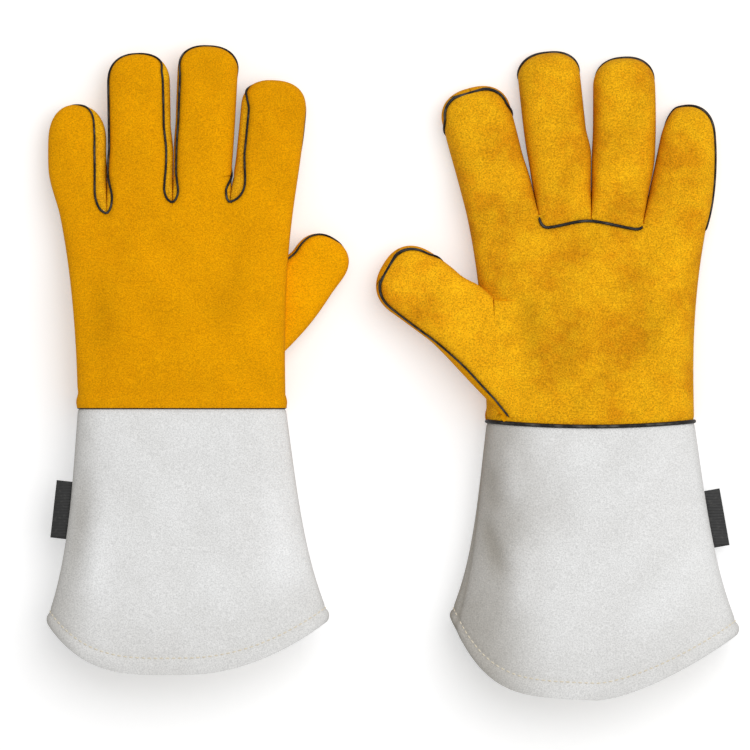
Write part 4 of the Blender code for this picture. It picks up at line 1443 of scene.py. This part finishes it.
    def dress_tab(self):
        """The folded ribbon: a flat superellipse carried along the cuff's edge.

        Outwards it droops with the square, and waves by a sine of its length.
        """
        glove = self.glove
        joint = joints[self.name("tab_fold")]
        middle, axis = np.array(joint["pos_m"]), unit(np.array(joint["axis"]))
        out = np.cross(axis, [0, 0, 1.0])
        if (out[0] > 0) == glove.thumb_right:
            out = -out
        rows, columns = TAB_GRID
        run = np.linspace(-0.5, 0.5, rows) * TAB_LENGTH
        across, height = outline(np.linspace(0, FULL_TURN, columns), TAB_SQUARE)
        wide = mix(-TAB_TUCK, TAB_WIDTH, (1 + across) / 2)
        wave = TAB_WAVE * np.sin(run / TAB_LENGTH * TAB_WAVE_TURN)[:, None] * (wide / TAB_WIDTH)
        end = np.ones(rows)
        end[[0, -1]] = 0
        points = middle + run[:, None, None] * axis + wide[None, :, None] * out
        thick = end[:, None] * height * TAB_THICKNESS / 2
        points[..., 2] += thick - TAB_DROOP * (wide / TAB_WIDTH) ** 2 + wave
        if glove.thumb_right:
            points = points[:, ::-1]
        faces = grid_quads(vertex_numbers(points))
        made = mesh_object(self.name("tab_ribbon"), points, faces, FINISHES["tab"])
        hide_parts(self.name("tab"))
        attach(made, self.name("tab"))

    def dress(self):
        """All pieces of the glove."""
        for stall in (*self.stalls, self.thumb):
            self.dress_digit(stall)
        self.dress_hand()
        self.dress_cuff()
        self.dress_tab()


# Floor, light and camera

PIXEL = 0.5563 * MM
FRAME_PIXELS = 750
SENSOR_MM = 36
CAMERA_HEIGHT = 5.0
CAMERA_OVER = (-10.1 * MM, -1.8 * MM)
CAMERA_CLIP = (0.05, 50)
FLOOR_REACH = 6.0
FLOOR_GLOW = 0.3
WORLD_LIGHT = 0.5
KEY_PLACE = (0.9, 0.7, 2.6)
KEY_SIZE = 2.6
KEY_POWER = 46


def white_floor():
    """A white floor that keeps the soft shadow: white card, and its own glow as the camera sees it."""
    made, tree = new_material("white_card_floor")
    path = add(tree, "LightPath")
    seen = add(tree, "Math", {0: path.outputs["Is Camera Ray"], 1: path.outputs["Is Glossy Ray"]},
               operation="MAXIMUM")
    through = add(tree, "Math", {0: seen.outputs[0], 1: path.outputs["Is Transmission Ray"]},
                  operation="MAXIMUM")
    glow = add(tree, "Math", {0: through.outputs[0], 1: FLOOR_GLOW}, operation="MULTIPLY")
    card = add(tree, "BsdfPrincipled", {
        "Base Color": colour("#F4F4F4"), "Roughness": 1.0, "Specular IOR Level": 0.0,
        "Emission Color": (1, 1, 1, 1), "Emission Strength": glow.outputs[0]})
    add(tree, "OutputMaterial", {"Surface": card.outputs["BSDF"]})
    mesh = bpy.data.meshes.new("floor")
    corners = [(FLOOR_REACH * x, FLOOR_REACH * y, 0) for x, y in ((-1, -1), (1, -1), (1, 1), (-1, 1))]
    mesh.from_pydata(corners, [], [(0, 1, 2, 3)])
    mesh.materials.append(made)
    floor = bpy.data.objects.new("floor", mesh)
    bpy.context.scene.collection.objects.link(floor)


def key_light():
    """A large square area light, to the right and above, that faces the middle of the pair."""
    lamp = bpy.data.lights.new("key", "AREA")
    lamp.size, lamp.energy = KEY_SIZE, KEY_POWER
    made = bpy.data.objects.new("key", lamp)
    made.location = KEY_PLACE
    made.rotation_euler = (-made.location).to_track_quat("-Z", "Y").to_euler()
    bpy.context.scene.collection.objects.link(made)


def studio():
    """White surroundings, the key light, the floor, and a camera straight above."""
    scene = bpy.context.scene
    scene.view_settings.view_transform = "Standard"
    world = bpy.data.worlds.new("studio_white")
    world.use_nodes = True
    world.node_tree.nodes.clear()
    sky = add(world.node_tree, "Background", {"Color": (1, 1, 1, 1), "Strength": WORLD_LIGHT})
    add(world.node_tree, "OutputWorld", {"Surface": sky.outputs["Background"]})
    scene.world = world
    key_light()
    white_floor()

    camera = bpy.data.cameras.new("camera")
    camera.sensor_width = SENSOR_MM
    camera.lens = SENSOR_MM * CAMERA_HEIGHT / (PIXEL * FRAME_PIXELS)
    camera.clip_start, camera.clip_end = CAMERA_CLIP
    made = bpy.data.objects.new("camera", camera)
    made.location = (*CAMERA_OVER, CAMERA_HEIGHT)
    scene.collection.objects.link(made)
    scene.camera = made


for glove in (BACK_UP_GLOVE, PALM_UP_GLOVE):
    Dresser(glove).dress()
studio()
